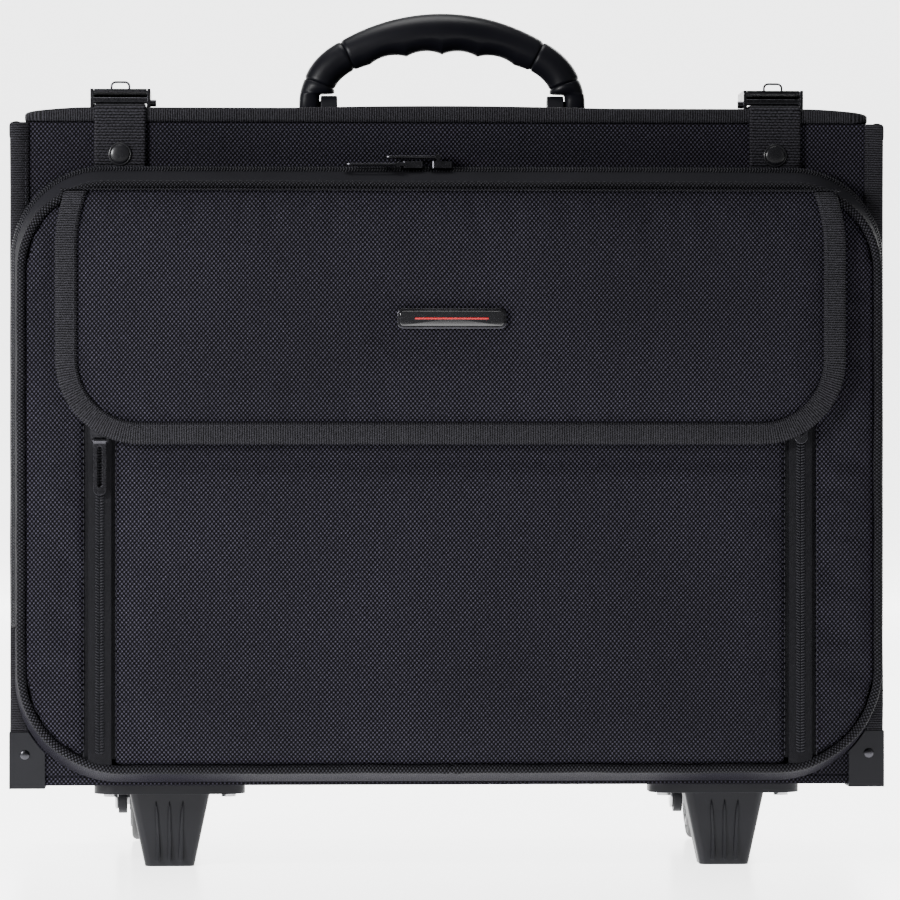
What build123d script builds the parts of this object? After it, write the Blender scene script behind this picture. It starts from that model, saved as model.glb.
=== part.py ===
from build123d import *
from math import cos, radians, sin, tan
import os

# Pilot rolling flight case, in millimetres. X runs across the case to the wearer's right as seen from the
# front, the front faces -Y, and Z is up. The origin is on the floor, under the middle of the whole case.

# ---------------------------------------------------------------- driving sizes
# Box
case_width = 478.0        # across the two side walls
main_depth = 172.0        # front wall to back wall
side_top = 408.7          # top edge of the walls above the floor
base_low = 45.0           # underside of the base above the floor
wall = 5.0                # stiffened wall: board, foam and fabric
lining_sheet = 1.0
tape_sheet = 1.2          # edge tape and zip tape
binding_leg = 9.0         # how far the edge tape reaches round a corner
cloth_gap = 0.3           # clearance between soft pieces that part or slide
run_gap = 0.05            # radial clearance of a pin in its hole

# Front pocket
pocket_depth = 38.0
pocket_margin = 1.5       # the pocket's zip inside the case's side
pocket_lift = 2.0         # the pocket's lowest edge above the base's underside
pocket_drop = 25.2        # the pocket's top edge below the walls' top edge
pocket_round_low = 57.0
pocket_round_high = 48.0
pocket_draft = 2.5        # how far each side leans in towards the piping
pocket_top_draft = 8.0
pocket_low_draft = 6.5
pocket_sheet = 2.5
piping_size = 5.0
side_zip_margin = 49.0    # middle of each side zip inside the case's side
side_zip_lift = 17.0      # lower end of the side zips above the pocket's lowest edge
side_zip_width = 13.0
coil_width = 5.0
coil_proud = 1.0
coil_setback = 7.0        # the pocket's zip coil, in front of the pocket's back edge

# Flap and badge
flap_margin = 25.0
flap_drop = 13.5          # top of the flap below the pocket's top edge
flap_height = 138.0
flap_round = 46.0
flap_thick = 7.0
flap_binding = 12.0
badge_length = 59.0
badge_height = 11.0
badge_thick = 2.4
badge_drop = 70.0         # middle of the badge below the top of the flap

# Lid, carry handle, straps and latches
lid_margin = 6.5
lid_thick = 8.0
lid_overhang = 1.0
lid_binding = 10.0
hinge_r = 2.4
pivot_rise = 7.0          # handle pivot above the lid
handle_rise = 52.2        # top of the grip above the pivot
handle_half = 81.0
grip_r = 11.7              # at the top of the arch
grip_half = 53.7           # the grip's ends, along X
grip_fall = 12.3           # the arch's centre line at the grip's ends, below its top
grip_slope = 26.6          # slope of the arch there, in degrees
shoulder_r = 9.0
shoulder_rise = 12.2       # where each shoulder ends, above the pivot
shoulder_slope = 71.6
finger_r = 17.0            # finger hollows under the grip
finger_pitch = 22.0
finger_cut = 2.0
sleeve_width = 12.0
sleeve_r = 6.4
bracket_width = 9.3
pin_r = 2.5
strap_margin = 59.0       # middle of each strap inside the case's side
strap_width = 28.0
webbing = 1.6
strap_lift = 0.8          # end of the strap above the pocket's top edge
snap_lift = 7.5
snap_r = 6.5
dome_r = 5.0
latch_width = 33.0
latch_length = 32.0
latch_height = 10.5
latch_setback = 6.0       # latch frame behind the lid's front edge
plate = 1.7

# Feet, wheels and guards
foot_margin = 86.0
flange_length = 83.0
flange_width = 34.0
flange_thick = 5.0
leg_top = 44.0
leg_foot = 27.0
leg_depth_top = 28.0
leg_depth_foot = 22.0
foot_setback = 5.0        # leg front behind the front wall
wheel_margin = 76.0
wheel_clear = 4.0         # tyre behind the back wall, at the height of the base
wheel_r = 25.0
wheel_width = 29.0
axle_r = 4.0
ear_in = 17.5             # ear faces, measured from the middle of the wheel
ear_out = 22.5
ear_r = 9.0
wheel_gap = 3.0
housing_rise = 30.0       # top of each wheel housing above its wheel
guard_width = 18.0
guard_height = 31.0
guard_sheet = 1.6
rivet_r = 2.8

# Trolley handle
trolley_depth = 16.0      # space for the tubes behind the back wall
cover_sheet = 3.0
tube_x = 95.0
tube_wide = 20.0
tube_deep = 10.0
tube_wall = 1.0
tube_gap = 0.1
tube_lift = 21.0          # foot of the tubes above the base's underside
tube_drop = 36.7          # top of the outer tubes below the walls' top edge
trolley_grip_half = 108.0
grip_gap = 23.0           # finger room between the outer tubes' top and the stowed grip
trolley_grip_height = 16.0
button_half = 14.0
button_travel = 4.0

# Zip sliders
slider_length = 12.0
slider_width = 10.0
slider_thick = 3.6
tab_length = 33.0
tab_width = 7.0
tab_thick = 1.3
tab_pin_r = 0.75
tab_barrel_r = 1.55
top_slider_x = [-20.0, -4.0]
top_tab_shift = [-4.3, 3.0]        # each pull's offset across the zip, so that the two lie side by side
top_pin_raised = [0.0, 4.5]        # the second pull lies over the first slider
top_body_start = [1.9, -4.0]
side_tab_lift = [2.0, 30.0]        # each side pull's pin above the lower edge of the flap

# ---------------------------------------------------------------- places worked out from the sizes
front_reach = tape_sheet + 2 * cloth_gap + pocket_depth + flap_thick + badge_thick
axle_z = wheel_r
wheel_behind = wheel_clear + (wheel_r ** 2 - (base_low - axle_z) ** 2) ** 0.5
depth = front_reach + main_depth + wheel_behind + wheel_r
front_y = -depth / 2 + front_reach
back_y = front_y + main_depth
cover_y = back_y + trolley_depth + cover_sheet
case_half = case_width / 2
pocket_half = case_half - pocket_margin
pocket_low = base_low + pocket_lift
pocket_high = side_top - pocket_drop
side_zip_x = case_half - side_zip_margin
flap_half = case_half - flap_margin
flap_high = pocket_high - flap_drop
flap_low = flap_high - flap_height
badge_z = flap_high - badge_drop
lid_half = case_half - lid_margin
strap_x = case_half - strap_margin
strap_end = pocket_high + strap_lift
snap_z = pocket_high + snap_lift
foot_x = case_half - foot_margin
wheel_x = case_half - wheel_margin
side_tab_hinge_z = [flap_low + lift for lift in side_tab_lift]
tube_low = base_low + tube_lift
tube_high = side_top - tube_drop
trolley_grip_low = tube_high + grip_gap
trolley_grip_high = trolley_grip_low + trolley_grip_height
base_top = base_low + wall
lid_low = side_top + cloth_gap
lid_top = lid_low + lid_thick
lid_front = front_y - lid_overhang
hinge_y = back_y - hinge_r
hinge_z = lid_low + hinge_r
lid_back = hinge_y - hinge_r - cloth_gap
lid_middle_y = (lid_front + lid_back) / 2
pivot_z = lid_top + pivot_rise
arch_top_z = pivot_z + handle_rise - grip_r
seam_x = handle_half - 11.6
strap_back = lid_front - cloth_gap
strap_front = strap_back - webbing
strap_hinge_y = strap_back - webbing / 2
strap_hinge_z = lid_top - webbing
pocket_back = front_y - tape_sheet - cloth_gap
pocket_front = pocket_back - pocket_depth
panel_front = pocket_front + (piping_size - 2 * pocket_sheet) / 2 + 0.8
coil_front = panel_front - coil_proud
flap_back = pocket_front - 2 * cloth_gap
flap_front = flap_back - flap_thick + cloth_gap
slider_back = coil_front - cloth_gap
slider_front = slider_back - slider_thick
gusset_depth = pocket_depth - piping_size
top_coil_y = pocket_back - coil_setback - coil_width / 2
top_slope = pocket_top_draft / gusset_depth
top_slider_low = pocket_high - coil_setback * top_slope + coil_proud + cloth_gap
guard_top = base_low - guard_sheet + guard_height
foot_y = front_y + foot_setback + leg_depth_top / 2
wheel_y = back_y + wheel_behind
housing_high = axle_z + wheel_r + housing_rise
sleeve_in = handle_half - sleeve_width
bracket_in = sleeve_in - bracket_width - cloth_gap
latch_front = lid_front + latch_setback
latch_back = latch_front + latch_length
latch_low = lid_top + webbing + 2 * cloth_gap
lever_top = lid_top + latch_height
tube_step = tube_wall + tube_gap
bracket_low = tube_low - 12.0
tube_y = back_y + trolley_depth / 2
SIDES = (("left", -1), ("right", 1))


# ---------------------------------------------------------------- small helpers
def block(x, y, z):
    """A box between the two values given on each axis."""
    size = [abs(b - a) for a, b in (x, y, z)]
    middle = [(a + b) / 2 for a, b in (x, y, z)]
    return Pos(*middle) * Box(*size)


def rod(axis, start, end, across, r):
    """A round bar along an axis, between two values, at the given place on the two other axes."""
    length = abs(end - start)
    middle = (start + end) / 2
    if axis == "X":
        return Pos(middle, *across) * Rot(0, 90, 0) * Cylinder(r, length)
    if axis == "Y":
        return Pos(across[0], middle, across[1]) * Rot(90, 0, 0) * Cylinder(r, length)
    return Pos(*across, middle) * Cylinder(r, length)


def facing_front(y):
    """The upright sheet at depth y: its X is the case's X, its Y is the case's Z, its normal is -Y."""
    return Plane(origin=(0, y, 0), x_dir=(1, 0, 0), z_dir=(0, -1, 0))


def rounded(half, low, high, round_low, round_high):
    """A rectangle about X = 0 with its own corner radius below and above."""
    shape = Pos(0, (low + high) / 2) * Rectangle(2 * half, high - low)
    if round_low > 0:
        shape = fillet(shape.vertices().group_by(Axis.Y)[0], round_low)
    if round_high > 0:
        shape = fillet(shape.vertices().group_by(Axis.Y)[-1], round_high)
    return shape


def slab(shape, y_back, y_front):
    """A flat outline made solid between two depths."""
    return extrude(facing_front(y_back) * shape, y_back - y_front)


def save(name, shape):
    """One node of the case, as one file."""
    solids = list(shape.solids()) if not isinstance(shape, list) else [s for p in shape for s in p.solids()]
    whole = solids[0] if len(solids) == 1 else Compound(children=[Solid(s.wrapped) for s in solids])
    export_step(whole, f"parts/{name}.step")


def mirrored(make):
    """The left and the right piece that a function makes for side -1 and side +1."""
    return [make(-1), make(1)]


# ---------------------------------------------------------------- box
def make_box():
    inner = case_half - wall
    walls = (base_top, side_top)
    base = block((-case_half, case_half), (front_y, back_y), (base_low, base_top))
    for screw in foot_screws():
        base -= screw
    save("base_panel", base)
    save("front_wall", block((-inner, inner), (front_y, front_y + wall), walls))
    save("back_wall", block((-inner, inner), (back_y - wall, back_y), walls))
    for side, s in SIDES:
        save(f"side_wall_{side}", block((s * inner, s * case_half), (front_y, back_y), walls))


def make_lining():
    """A sewn tray of thin cloth against the inside of the walls and the base."""
    out = case_half - wall
    low = base_top
    outer = block((-out, out), (front_y + wall, back_y - wall), (low, side_top))
    inside = out - lining_sheet
    room = (front_y + wall + lining_sheet, back_y - wall - lining_sheet)
    save("lining", outer - block((-inside, inside), room, (low + lining_sheet, side_top)))


def corner_tape(s, y_corner, inward):
    """An L of tape round one upright edge. inward is +1 at the front edge, -1 at the back one."""
    out = s * (case_half + tape_sheet)
    reach = y_corner + inward * binding_leg
    y_out = y_corner - inward * tape_sheet
    tape = block((out, s * (case_half - binding_leg)), (y_out, reach), (guard_top, side_top))
    return tape - block((s * case_half, 0), (y_corner, y_corner + inward * main_depth / 2), (0, side_top))


def make_binding():
    corners = [(front_y, 1), (back_y, -1)]
    save("case_binding", [corner_tape(s, y, inward) for s in (-1, 1) for y, inward in corners])


def corner_guard(s, y_corner, inward):
    """A moulded cap over one bottom corner of the box, cut back where the pocket passes it."""
    out = s * (case_half + guard_sheet)
    y_out = y_corner - inward * guard_sheet
    reach = y_corner + inward * guard_width
    low = base_low - guard_sheet
    cap = block((out, s * (case_half - guard_width)), (y_out, reach), (low, guard_top))
    cap = fillet(cap.edges().filter_by(Axis.Y).group_by(Axis.Z)[-1].sort_by(Axis.X)[0 if s > 0 else -1], 8)
    cap -= block((s * case_half, 0), (y_corner, y_corner + inward * main_depth), (base_low, side_top))
    around = rounded(pocket_half + 2 * cloth_gap, pocket_low - 2 * cloth_gap, pocket_high,
                     pocket_round_low + 2 * cloth_gap, pocket_round_high)
    return cap - slab(around, front_y, pocket_front)


def rivet(s, y_corner, inward):
    """A domed rivet head on a guard, with its shank set into the wall."""
    x = s * (case_half - 7.0)
    z = base_low + 17.0
    face = y_corner - inward * guard_sheet
    head = rod("Y", face, face - inward * 1.0, (x, z), rivet_r)
    return head + rod("Y", face, y_corner, (x, z), rivet_r / 2)


def make_guards():
    corners = [(s, y, inward) for s in (-1, 1) for y, inward in ((front_y, 1), (back_y, -1))]
    rivets = [rivet(*corner) for corner in corners]
    save("guard_rivets", rivets)
    guards = [corner_guard(*corner) for corner in corners]
    for shank in rivets:
        guards = [guard - shank for guard in guards]
    save("corner_guards", guards)


def make_fixed_zip_tape():
    """The half of the zip that is sewn to the front wall: a flat loop of tape inside the edge tape."""
    inset = pocket_half - (case_half - binding_leg) + cloth_gap
    width = 14.0
    outer = rounded(pocket_half - inset, pocket_low + inset, pocket_high - inset,
                    pocket_round_low - inset, pocket_round_high - inset)
    grow = inset + width
    inner = rounded(pocket_half - grow, pocket_low + grow, pocket_high - grow,
                    pocket_round_low - grow, pocket_round_high - grow)
    save("zip_tape_fixed", slab(outer - inner, front_y, front_y - tape_sheet))


def make_snap_studs():
    def stud(s):
        return rod("Y", front_y, front_y - 0.8, (s * strap_x, snap_z), dome_r)
    save("snap_studs", mirrored(stud))


# ---------------------------------------------------------------- feet and wheels
def foot(s):
    """A flanged leg: a long rounded flange under the base, and a leg that tapers to the floor."""
    middle = Pos(s * foot_x, foot_y, 0)
    low = base_low - flange_thick
    flange = middle * Pos(0, 0, low + flange_thick / 2) * Box(flange_length, flange_width, flange_thick)
    flange = fillet(flange.edges().filter_by(Axis.Z), 12)
    top = RectangleRounded(leg_top, leg_depth_top, 5)
    bottom = RectangleRounded(leg_foot, leg_depth_foot, 4)
    leg = middle * loft([bottom, Pos(0, 0, low) * top], ruled=True)
    rib_face = foot_y - leg_depth_foot / 2
    ribs = [Pos(s * foot_x + i * 6.5, rib_face - 1.0, low / 2) * Rot(-4.3, 0, 0) * Box(1.6, 2.4, low - 6)
            for i in (-1, 0, 1)]
    body = flange + leg
    for one in ribs:
        body += one
    return body - foot_screw(s, -1) - foot_screw(s, 1)


def foot_screw(s, end):
    """A pan-head screw up through the flange into the base."""
    x = s * foot_x + end * (flange_length / 2 - 9.0)
    low = base_low - flange_thick
    head = rod("Z", low, low - 2.2, (x, foot_y), 4.0)
    return head + rod("Z", low, base_low + 3.0, (x, foot_y), 2.0)


def foot_screws():
    return [foot_screw(s, end) for s in (-1, 1) for end in (-1, 1)]


def make_feet():
    for side, s in SIDES:
        save(f"foot_{side}", foot(s))
    save("foot_screws", foot_screws())


def wheel_housing(s):
    """A moulded shroud behind the foot of the back wall, with two ears that carry the axle."""
    x = (s * (wheel_x - ear_out), s * (wheel_x + ear_out))
    shroud = block(x, (back_y, wheel_y + 8.0), (axle_z + 6.0, housing_high))
    shroud = fillet(shroud.edges().filter_by(Axis.X).sort_by(Axis.Y)[-2:].sort_by(Axis.Z)[-1], 18)
    shroud += rod("X", x[0], x[1], (wheel_y, axle_z), ear_r)
    inside = (s * wheel_x - ear_in, s * wheel_x + ear_in)
    well = rod("X", inside[0], inside[1], (wheel_y, axle_z), wheel_r + wheel_gap)
    behind = block(inside, (back_y + 2.0, wheel_y + wheel_r + 9.0), (0, axle_z + 9.0))
    hole = rod("X", x[0], x[1], (wheel_y, axle_z), axle_r)
    return shroud - well - behind - hole


def axle(s):
    """A fixed axle through both ears, with a flat round head outside each ear."""
    start, end = s * wheel_x - ear_out, s * wheel_x + ear_out
    shaft = rod("X", start, end, (wheel_y, axle_z), axle_r)
    heads = rod("X", start - 2.0, start, (wheel_y, axle_z), 6.5)
    return shaft + heads + rod("X", end, end + 2.0, (wheel_y, axle_z), 6.5)


def make_wheels():
    save("wheel_axles", mirrored(axle))
    hub_r = wheel_r - 8.0
    half = wheel_width / 2
    for side, s in SIDES:
        x = s * wheel_x
        save(f"wheel_housing_{side}", wheel_housing(s))
        outer = rod("X", x - half, x + half, (wheel_y, axle_z), wheel_r)
        tyre = fillet(outer.edges().filter_by(GeomType.CIRCLE), 4)
        seat = rod("X", x - half, x + half, (wheel_y, axle_z), hub_r)
        save(f"tyre_{side}", tyre - seat)
        hole = rod("X", x - half - 2, x + half + 2, (wheel_y, axle_z), axle_r + run_gap)
        boss = rod("X", x - half - 1.5, x + half + 1.5, (wheel_y, axle_z), axle_r + 4.0)
        save(f"hub_{side}", seat + boss - hole)


# ---------------------------------------------------------------- trolley handle
def tube(x, low, high, inset):
    """A flat-sided tube. The outer one has inset 0; each one inside it is a wall and a gap smaller."""
    wide = tube_wide / 2 - inset
    deep = tube_deep / 2 - inset
    outer = block((x - wide, x + wide), (tube_y - deep, tube_y + deep), (low, high))
    bore = block((x - wide + tube_wall, x + wide - tube_wall),
                 (tube_y - deep + tube_wall, tube_y + deep - tube_wall), (low, high))
    return outer - bore


def tube_space(x, low, high, inset):
    """The solid block that a tube of that inset takes up."""
    wide = tube_wide / 2 - inset
    deep = tube_deep / 2 - inset
    return block((x - wide, x + wide), (tube_y - deep, tube_y + deep), (low, high))


def make_trolley():
    tubes = (-tube_x, tube_x)
    save("trolley_outer_tubes", [tube(x, tube_low, tube_high, 0) for x in tubes])
    seat = block((-tube_x - 16, tube_x + 16), (back_y, back_y + trolley_depth), (bracket_low, tube_low))
    save("trolley_lower_bracket", seat)
    bezel_half = trolley_grip_half + 8.0
    bezel_low = tube_high - 24.0
    bezel = block((-bezel_half, bezel_half), (back_y, cover_y), (bezel_low, side_top))
    scoop_half = trolley_grip_half + 1.0
    scoop = block((-scoop_half, scoop_half), (back_y + 2.0, cover_y + 1), (tube_high, side_top + 1))
    bezel -= scoop
    for x in tubes:
        bezel -= tube_space(x, bezel_low, tube_high, 0)
    save("trolley_bezel", bezel)
    mid_high = tube_high + 2.0
    save("trolley_mid_tubes", [tube(x, tube_low + 2.0, mid_high, tube_step) for x in tubes])
    save("trolley_inner_tubes", [tube(x, tube_low + 4.0, trolley_grip_low, 2 * tube_step) for x in tubes])
    grip = block((-trolley_grip_half, trolley_grip_half), (back_y + 2.3, cover_y - 0.5),
                 (trolley_grip_low, trolley_grip_high))
    grip = fillet(grip.edges().filter_by(Axis.X), 4)
    button_z = trolley_grip_high - 3.0
    room = 0.2
    hole = block((-button_half - room, button_half + room), (tube_y - 5 - room, tube_y + 5 + room),
                 (button_z - button_travel - 3.0, trolley_grip_high + 1))
    yoke_z = button_z - 3.0
    channel = block((-tube_x - 5, tube_x + 5), (tube_y - 1.6, tube_y + 1.6),
                    (yoke_z - button_travel - 2.0, yoke_z + room))
    shafts = [block((x - 3.4, x + 3.4), (tube_y - 1.6, tube_y + 1.6), (trolley_grip_low - 1, yoke_z))
              for x in tubes]
    grip = grip - hole - channel - shafts[0] - shafts[1]
    save("trolley_grip", grip)
    button = block((-button_half, button_half), (tube_y - 5, tube_y + 5), (yoke_z, trolley_grip_high - 0.4))
    rod_deep = (tube_y - 1.2, tube_y + 1.2)
    yoke = block((-tube_x - 3, tube_x + 3), rod_deep, (yoke_z - 1.6, yoke_z))
    rods = [block((x - 3, x + 3), rod_deep, (tube_low + 14.0, yoke_z - 1.6)) for x in tubes]
    save("trolley_button", button + yoke + rods[0] + rods[1])


def make_back_cover():
    """A shallow padded tray over the trolley tubes, between the wheel housings and below the bezel."""
    half = trolley_grip_half + 8.0
    low = bracket_low - 4.0
    high = tube_high - 24.0
    tray = block((-half, half), (back_y, cover_y), (low, high))
    hollow = block((-half + cover_sheet, half - cover_sheet), (back_y, cover_y - cover_sheet),
                   (low + cover_sheet, high))
    save("back_cover", tray - hollow)


# ---------------------------------------------------------------- lid, handle, straps and latches
def make_lid():
    ring = block((-lid_half, lid_half), (lid_front, lid_back), (lid_low, lid_top))
    inner_x = lid_half - lid_binding
    inner_y = (lid_front + lid_binding, lid_back - lid_binding)
    panel = block((-inner_x, inner_x), inner_y, (lid_low, lid_top))
    save("lid_panel", panel)
    save("lid_binding", ring - panel)
    save("lid_hinge_strip", rod("X", -lid_half, lid_half, (hinge_y, hinge_z), hinge_r))


def handle_bracket(s):
    """A block on the lid with a round top, and the pin that stands out of it into the handle's end."""
    x = (s * bracket_in, s * (sleeve_in - cloth_gap))
    body = block(x, (lid_middle_y - 9, lid_middle_y + 9), (lid_top, lid_top + 3.5))
    body += block(x, (lid_middle_y - 5.5, lid_middle_y + 5.5), (lid_top, pivot_z))
    body += rod("X", x[0], x[1], (lid_middle_y, pivot_z), 5.5)
    return body + rod("X", s * (sleeve_in - 1), s * (handle_half - 2), (lid_middle_y, pivot_z), pin_r)


def uphill(s, slope):
    """The arch's direction of climb on side s, for a slope in degrees."""
    return (-s * cos(radians(slope)), 0, sin(radians(slope)))


def handle_sleeve(s):
    """The moulded end of the carry handle. It tapers from its pivot up to the slanted shoulder seam."""
    x = (s * sleeve_in, s * handle_half)
    sleeve = rod("X", x[0], x[1], (lid_middle_y, pivot_z), sleeve_r)
    across = shoulder_r * sin(radians(shoulder_slope))
    climb = shoulder_r * cos(radians(shoulder_slope))
    seam_z = pivot_z + shoulder_rise
    inner_z = seam_z - (seam_x - sleeve_in) / tan(radians(shoulder_slope))
    sides = [(x[0], pivot_z), (x[1], pivot_z), (s * (seam_x + across), seam_z + climb), (x[0], inner_z)]
    sleeve += slab(make_face(Polyline(*sides, close=True)), lid_middle_y + sleeve_r, lid_middle_y - sleeve_r)
    return sleeve - rod("X", x[0], s * (handle_half - 1.8), (lid_middle_y, pivot_z), pin_r + run_gap)


def handle_shoulder(s):
    """The bent part between the sleeve and the grip."""
    start = (s * seam_x, lid_middle_y, pivot_z + shoulder_rise)
    end = (s * grip_half, lid_middle_y, arch_top_z - grip_fall)
    path = Spline(start, end, tangents=[uphill(s, shoulder_slope), uphill(s, grip_slope)])
    return sweep(Plane(path @ 0, z_dir=path % 0) * Circle(shoulder_r), path)


def make_handle():
    save("handle_brackets", mirrored(handle_bracket))
    save("handle_end_sleeves", mirrored(handle_sleeve))
    save("handle_shoulders", mirrored(handle_shoulder))
    ends = [(s * grip_half, lid_middle_y, arch_top_z - grip_fall) for s in (-1, 1)]
    down = Vector(uphill(1, grip_slope)) * -1
    path = Spline(ends[0], (0, lid_middle_y, arch_top_z), ends[1], tangents=[uphill(-1, grip_slope), down])
    stations = [(0, shoulder_r), (0.5, grip_r), (1, shoulder_r)]
    sections = [Plane(path @ t, z_dir=path % t) * Circle(r) for t, r in stations]
    grip = sweep(sections, path, multisection=True)
    for i in range(4):
        x = (i - 1.5) * finger_pitch
        share = (x / grip_half) ** 2
        under_z = arch_top_z - grip_fall * share - grip_r + (grip_r - shoulder_r) * share
        centre = (x, under_z + finger_cut - finger_r)
        grip -= rod("Y", lid_middle_y - 20, lid_middle_y + 20, centre, finger_r)
    save("handle_grip", grip)


def latch_frame(s):
    """Two side plates on the lid, joined in front by a bar over the webbing, behind by the lever's pin."""
    half = latch_width / 2
    x = s * strap_x
    frame = rod("X", x - half, x + half, (latch_front + 3.0, latch_low + 1.5), 1.3)
    frame += rod("X", x - half, x + half, (latch_back - 4.0, lever_top - 2.2), 1.3)
    inner_end = x - s * half
    frame += rod("X", inner_end, inner_end - s * 3.2, (latch_front + 3.0, latch_low + 0.5), 1.9)
    for end in (-1, 1):
        side = (x + end * half, x + end * (half - plate))
        frame += block(side, (latch_front, latch_back), (lid_top, lever_top))
    return frame


def latch_lever(s):
    """A pressed lever between the side plates, with a bent wire pull standing on its free end."""
    half = latch_width / 2 - plate - cloth_gap
    x = s * strap_x
    pin = (latch_back - 4.0, lever_top - 2.2)
    lever = block((x - half, x + half), (latch_front + 1.0, pin[0] + 2.0), (lever_top - 2.0, lever_top))
    knuckle = rod("X", x - half, x + half, pin, 2.2)
    lever = lever + knuckle - rod("X", x - half, x + half, pin, 1.3 + run_gap)
    arch_y = latch_front + 4.0
    path = FilletPolyline((x - 4.9, arch_y, lever_top), (x - 4.9, arch_y, lever_top + 3.8),
                          (x + 4.9, arch_y, lever_top + 3.8), (x + 4.9, arch_y, lever_top), radius=2.4)
    wire = sweep(Plane(path @ 0, z_dir=path % 0) * Circle(0.6), path)
    return [lever, wire]


def strap_tail(s):
    """The webbing on the lid, from under the lever to the lid's front edge."""
    half = strap_width / 2
    x = s * strap_x
    low = lid_top + cloth_gap
    return block((x - half, x + half), (lid_front + 0.2, latch_back - 2.0), (low, low + webbing))


def strap(s):
    """The webbing that hangs over the front, round at its top edge where it folds, with its snap cap."""
    half = strap_width / 2
    x = s * strap_x
    run = block((x - half, x + half), (strap_back, strap_front), (strap_end, strap_hinge_z))
    run += rod("X", x - half, x + half, (strap_hinge_y, strap_hinge_z), webbing / 2)
    cap = rod("Y", strap_front, strap_front - 1.0, (x, snap_z), snap_r)
    cap += rod("Y", strap_front - 1.0, strap_front - 2.4, (x, snap_z), dome_r)
    return [run, cap]


def make_straps_and_latches():
    save("latch_frames", mirrored(latch_frame))
    save("strap_tails", mirrored(strap_tail))
    for side, s in SIDES:
        save(f"strap_{side}", strap(s))
        save(f"latch_lever_{side}", latch_lever(s))


# ---------------------------------------------------------------- front pocket and flap
def pocket_outline(inset, reach):
    """The pocket's outline, drawn in by an inset. reach goes from 0 at the zip to 1 at the piping."""
    half = pocket_half - inset - pocket_draft * reach
    low = pocket_low + inset + pocket_low_draft * reach
    high = pocket_high - inset - pocket_top_draft * reach
    return rounded(half, low, high, pocket_round_low - inset, pocket_round_high - inset)


def pocket_shell(inset, start, end):
    """The solid inside the leaning outline, between two fractions of the gusset's depth."""
    sheets = [facing_front(pocket_back - gusset_depth * reach) * pocket_outline(inset, reach)
              for reach in (start, end)]
    return loft(sheets, ruled=True)


def make_pocket():
    save("pocket_gusset", pocket_shell(0, 0, 1) - pocket_shell(pocket_sheet, 0, 1))
    coil_from = coil_setback / gusset_depth
    coil_to = (coil_setback + coil_width) / gusset_depth
    save("pocket_zip", pocket_shell(-coil_proud, coil_from, coil_to) - pocket_shell(0, coil_from, coil_to))
    ring = pocket_outline(0, 1) - pocket_outline(piping_size, 1)
    save("pocket_piping", slab(ring, pocket_front + piping_size, pocket_front))
    sheet = slab(pocket_outline(piping_size, 1), panel_front + pocket_sheet, panel_front)
    reach = (panel_front + 2 * pocket_sheet, panel_front - pocket_sheet)
    zip_in = side_zip_x - side_zip_width / 2
    zip_out = side_zip_x + side_zip_width / 2
    tall = (0, pocket_high)
    save("pocket_centre_panel", sheet & block((-zip_in, zip_in), reach, tall))
    save("pocket_side_panels", [sheet & block((s * zip_out, s * case_half), reach, tall) for s in (-1, 1)])
    zips = []
    for s in (-1, 1):
        x = s * side_zip_x
        band = sheet & block((s * zip_in, s * zip_out), reach, tall)
        coil = block((x - coil_width / 2, x + coil_width / 2), (panel_front, coil_front),
                     (pocket_low + side_zip_lift, flap_high - 15.0))
        zips.append(band + coil)
    save("side_zips", zips)


def flap_outline(inset):
    return rounded(flap_half - inset, flap_low + inset, flap_high - inset, flap_round - inset, 0)


def make_flap():
    """A padded flap with a taped rim; two shallow hollows in its back clear the side zip sliders."""
    hollows = [block((s * side_zip_x - 9, s * side_zip_x + 9), (flap_back, slider_front - cloth_gap),
                     (flap_low - 1, side_tab_hinge_z[1] + 20)) for s in (-1, 1)]
    pad = slab(flap_outline(flap_binding), flap_back, flap_front)
    rim = slab(flap_outline(0), flap_back, flap_front) - pad
    for hollow in hollows:
        rim -= hollow
        pad -= hollow
    save("flap_panel", pad)
    save("flap_binding", rim)
    plate_outline = Pos(0, badge_z) * RectangleRounded(badge_length, badge_height, 3)
    inlay_outline = Pos(0, badge_z) * RectangleRounded(badge_length - 4, badge_height - 4, 1.5)
    rim_front = flap_front - badge_thick + 0.6
    badge = slab(plate_outline, flap_front, rim_front)
    save("badge_plate", [badge, slab(inlay_outline, rim_front, flap_front - badge_thick)])


# ---------------------------------------------------------------- zip sliders
# A slider and its pull share a local frame: the pull's pin lies along X at the origin, the pull hangs
# along -Z, and -Y is away from the zip.
def slider(raised, start, body_x):
    """A slider. Its pin stands raised above the body's middle, and the body begins at Z = start."""
    half_wide = slider_width / 2
    back = raised + slider_thick / 2
    front = raised - slider_thick / 2
    body = block((body_x - half_wide, body_x + half_wide), (front, back), (start, start + slider_length))
    body = fillet(body.edges().filter_by(Axis.Y), 2)
    arm_in = tab_width / 2 + cloth_gap
    arm_out = arm_in + 1.0
    arm_deep = (-0.9, max(0.9, front + 0.1))
    arm_tall = (-0.9, max(0.9, start + 0.1))
    for end in (-1, 1):
        body += block((end * arm_in, end * arm_out), arm_deep, arm_tall)
    if raised > 0:
        body += block((-arm_out, arm_out), (front - 0.8, front + 0.1), (-0.9, 0.9))
    else:
        body += block((-arm_out, arm_out), (-0.9, 0.9), (start - 0.1, start + 2.1))
    return body + rod("X", -arm_out, arm_out, (0, 0), tab_pin_r)


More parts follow.
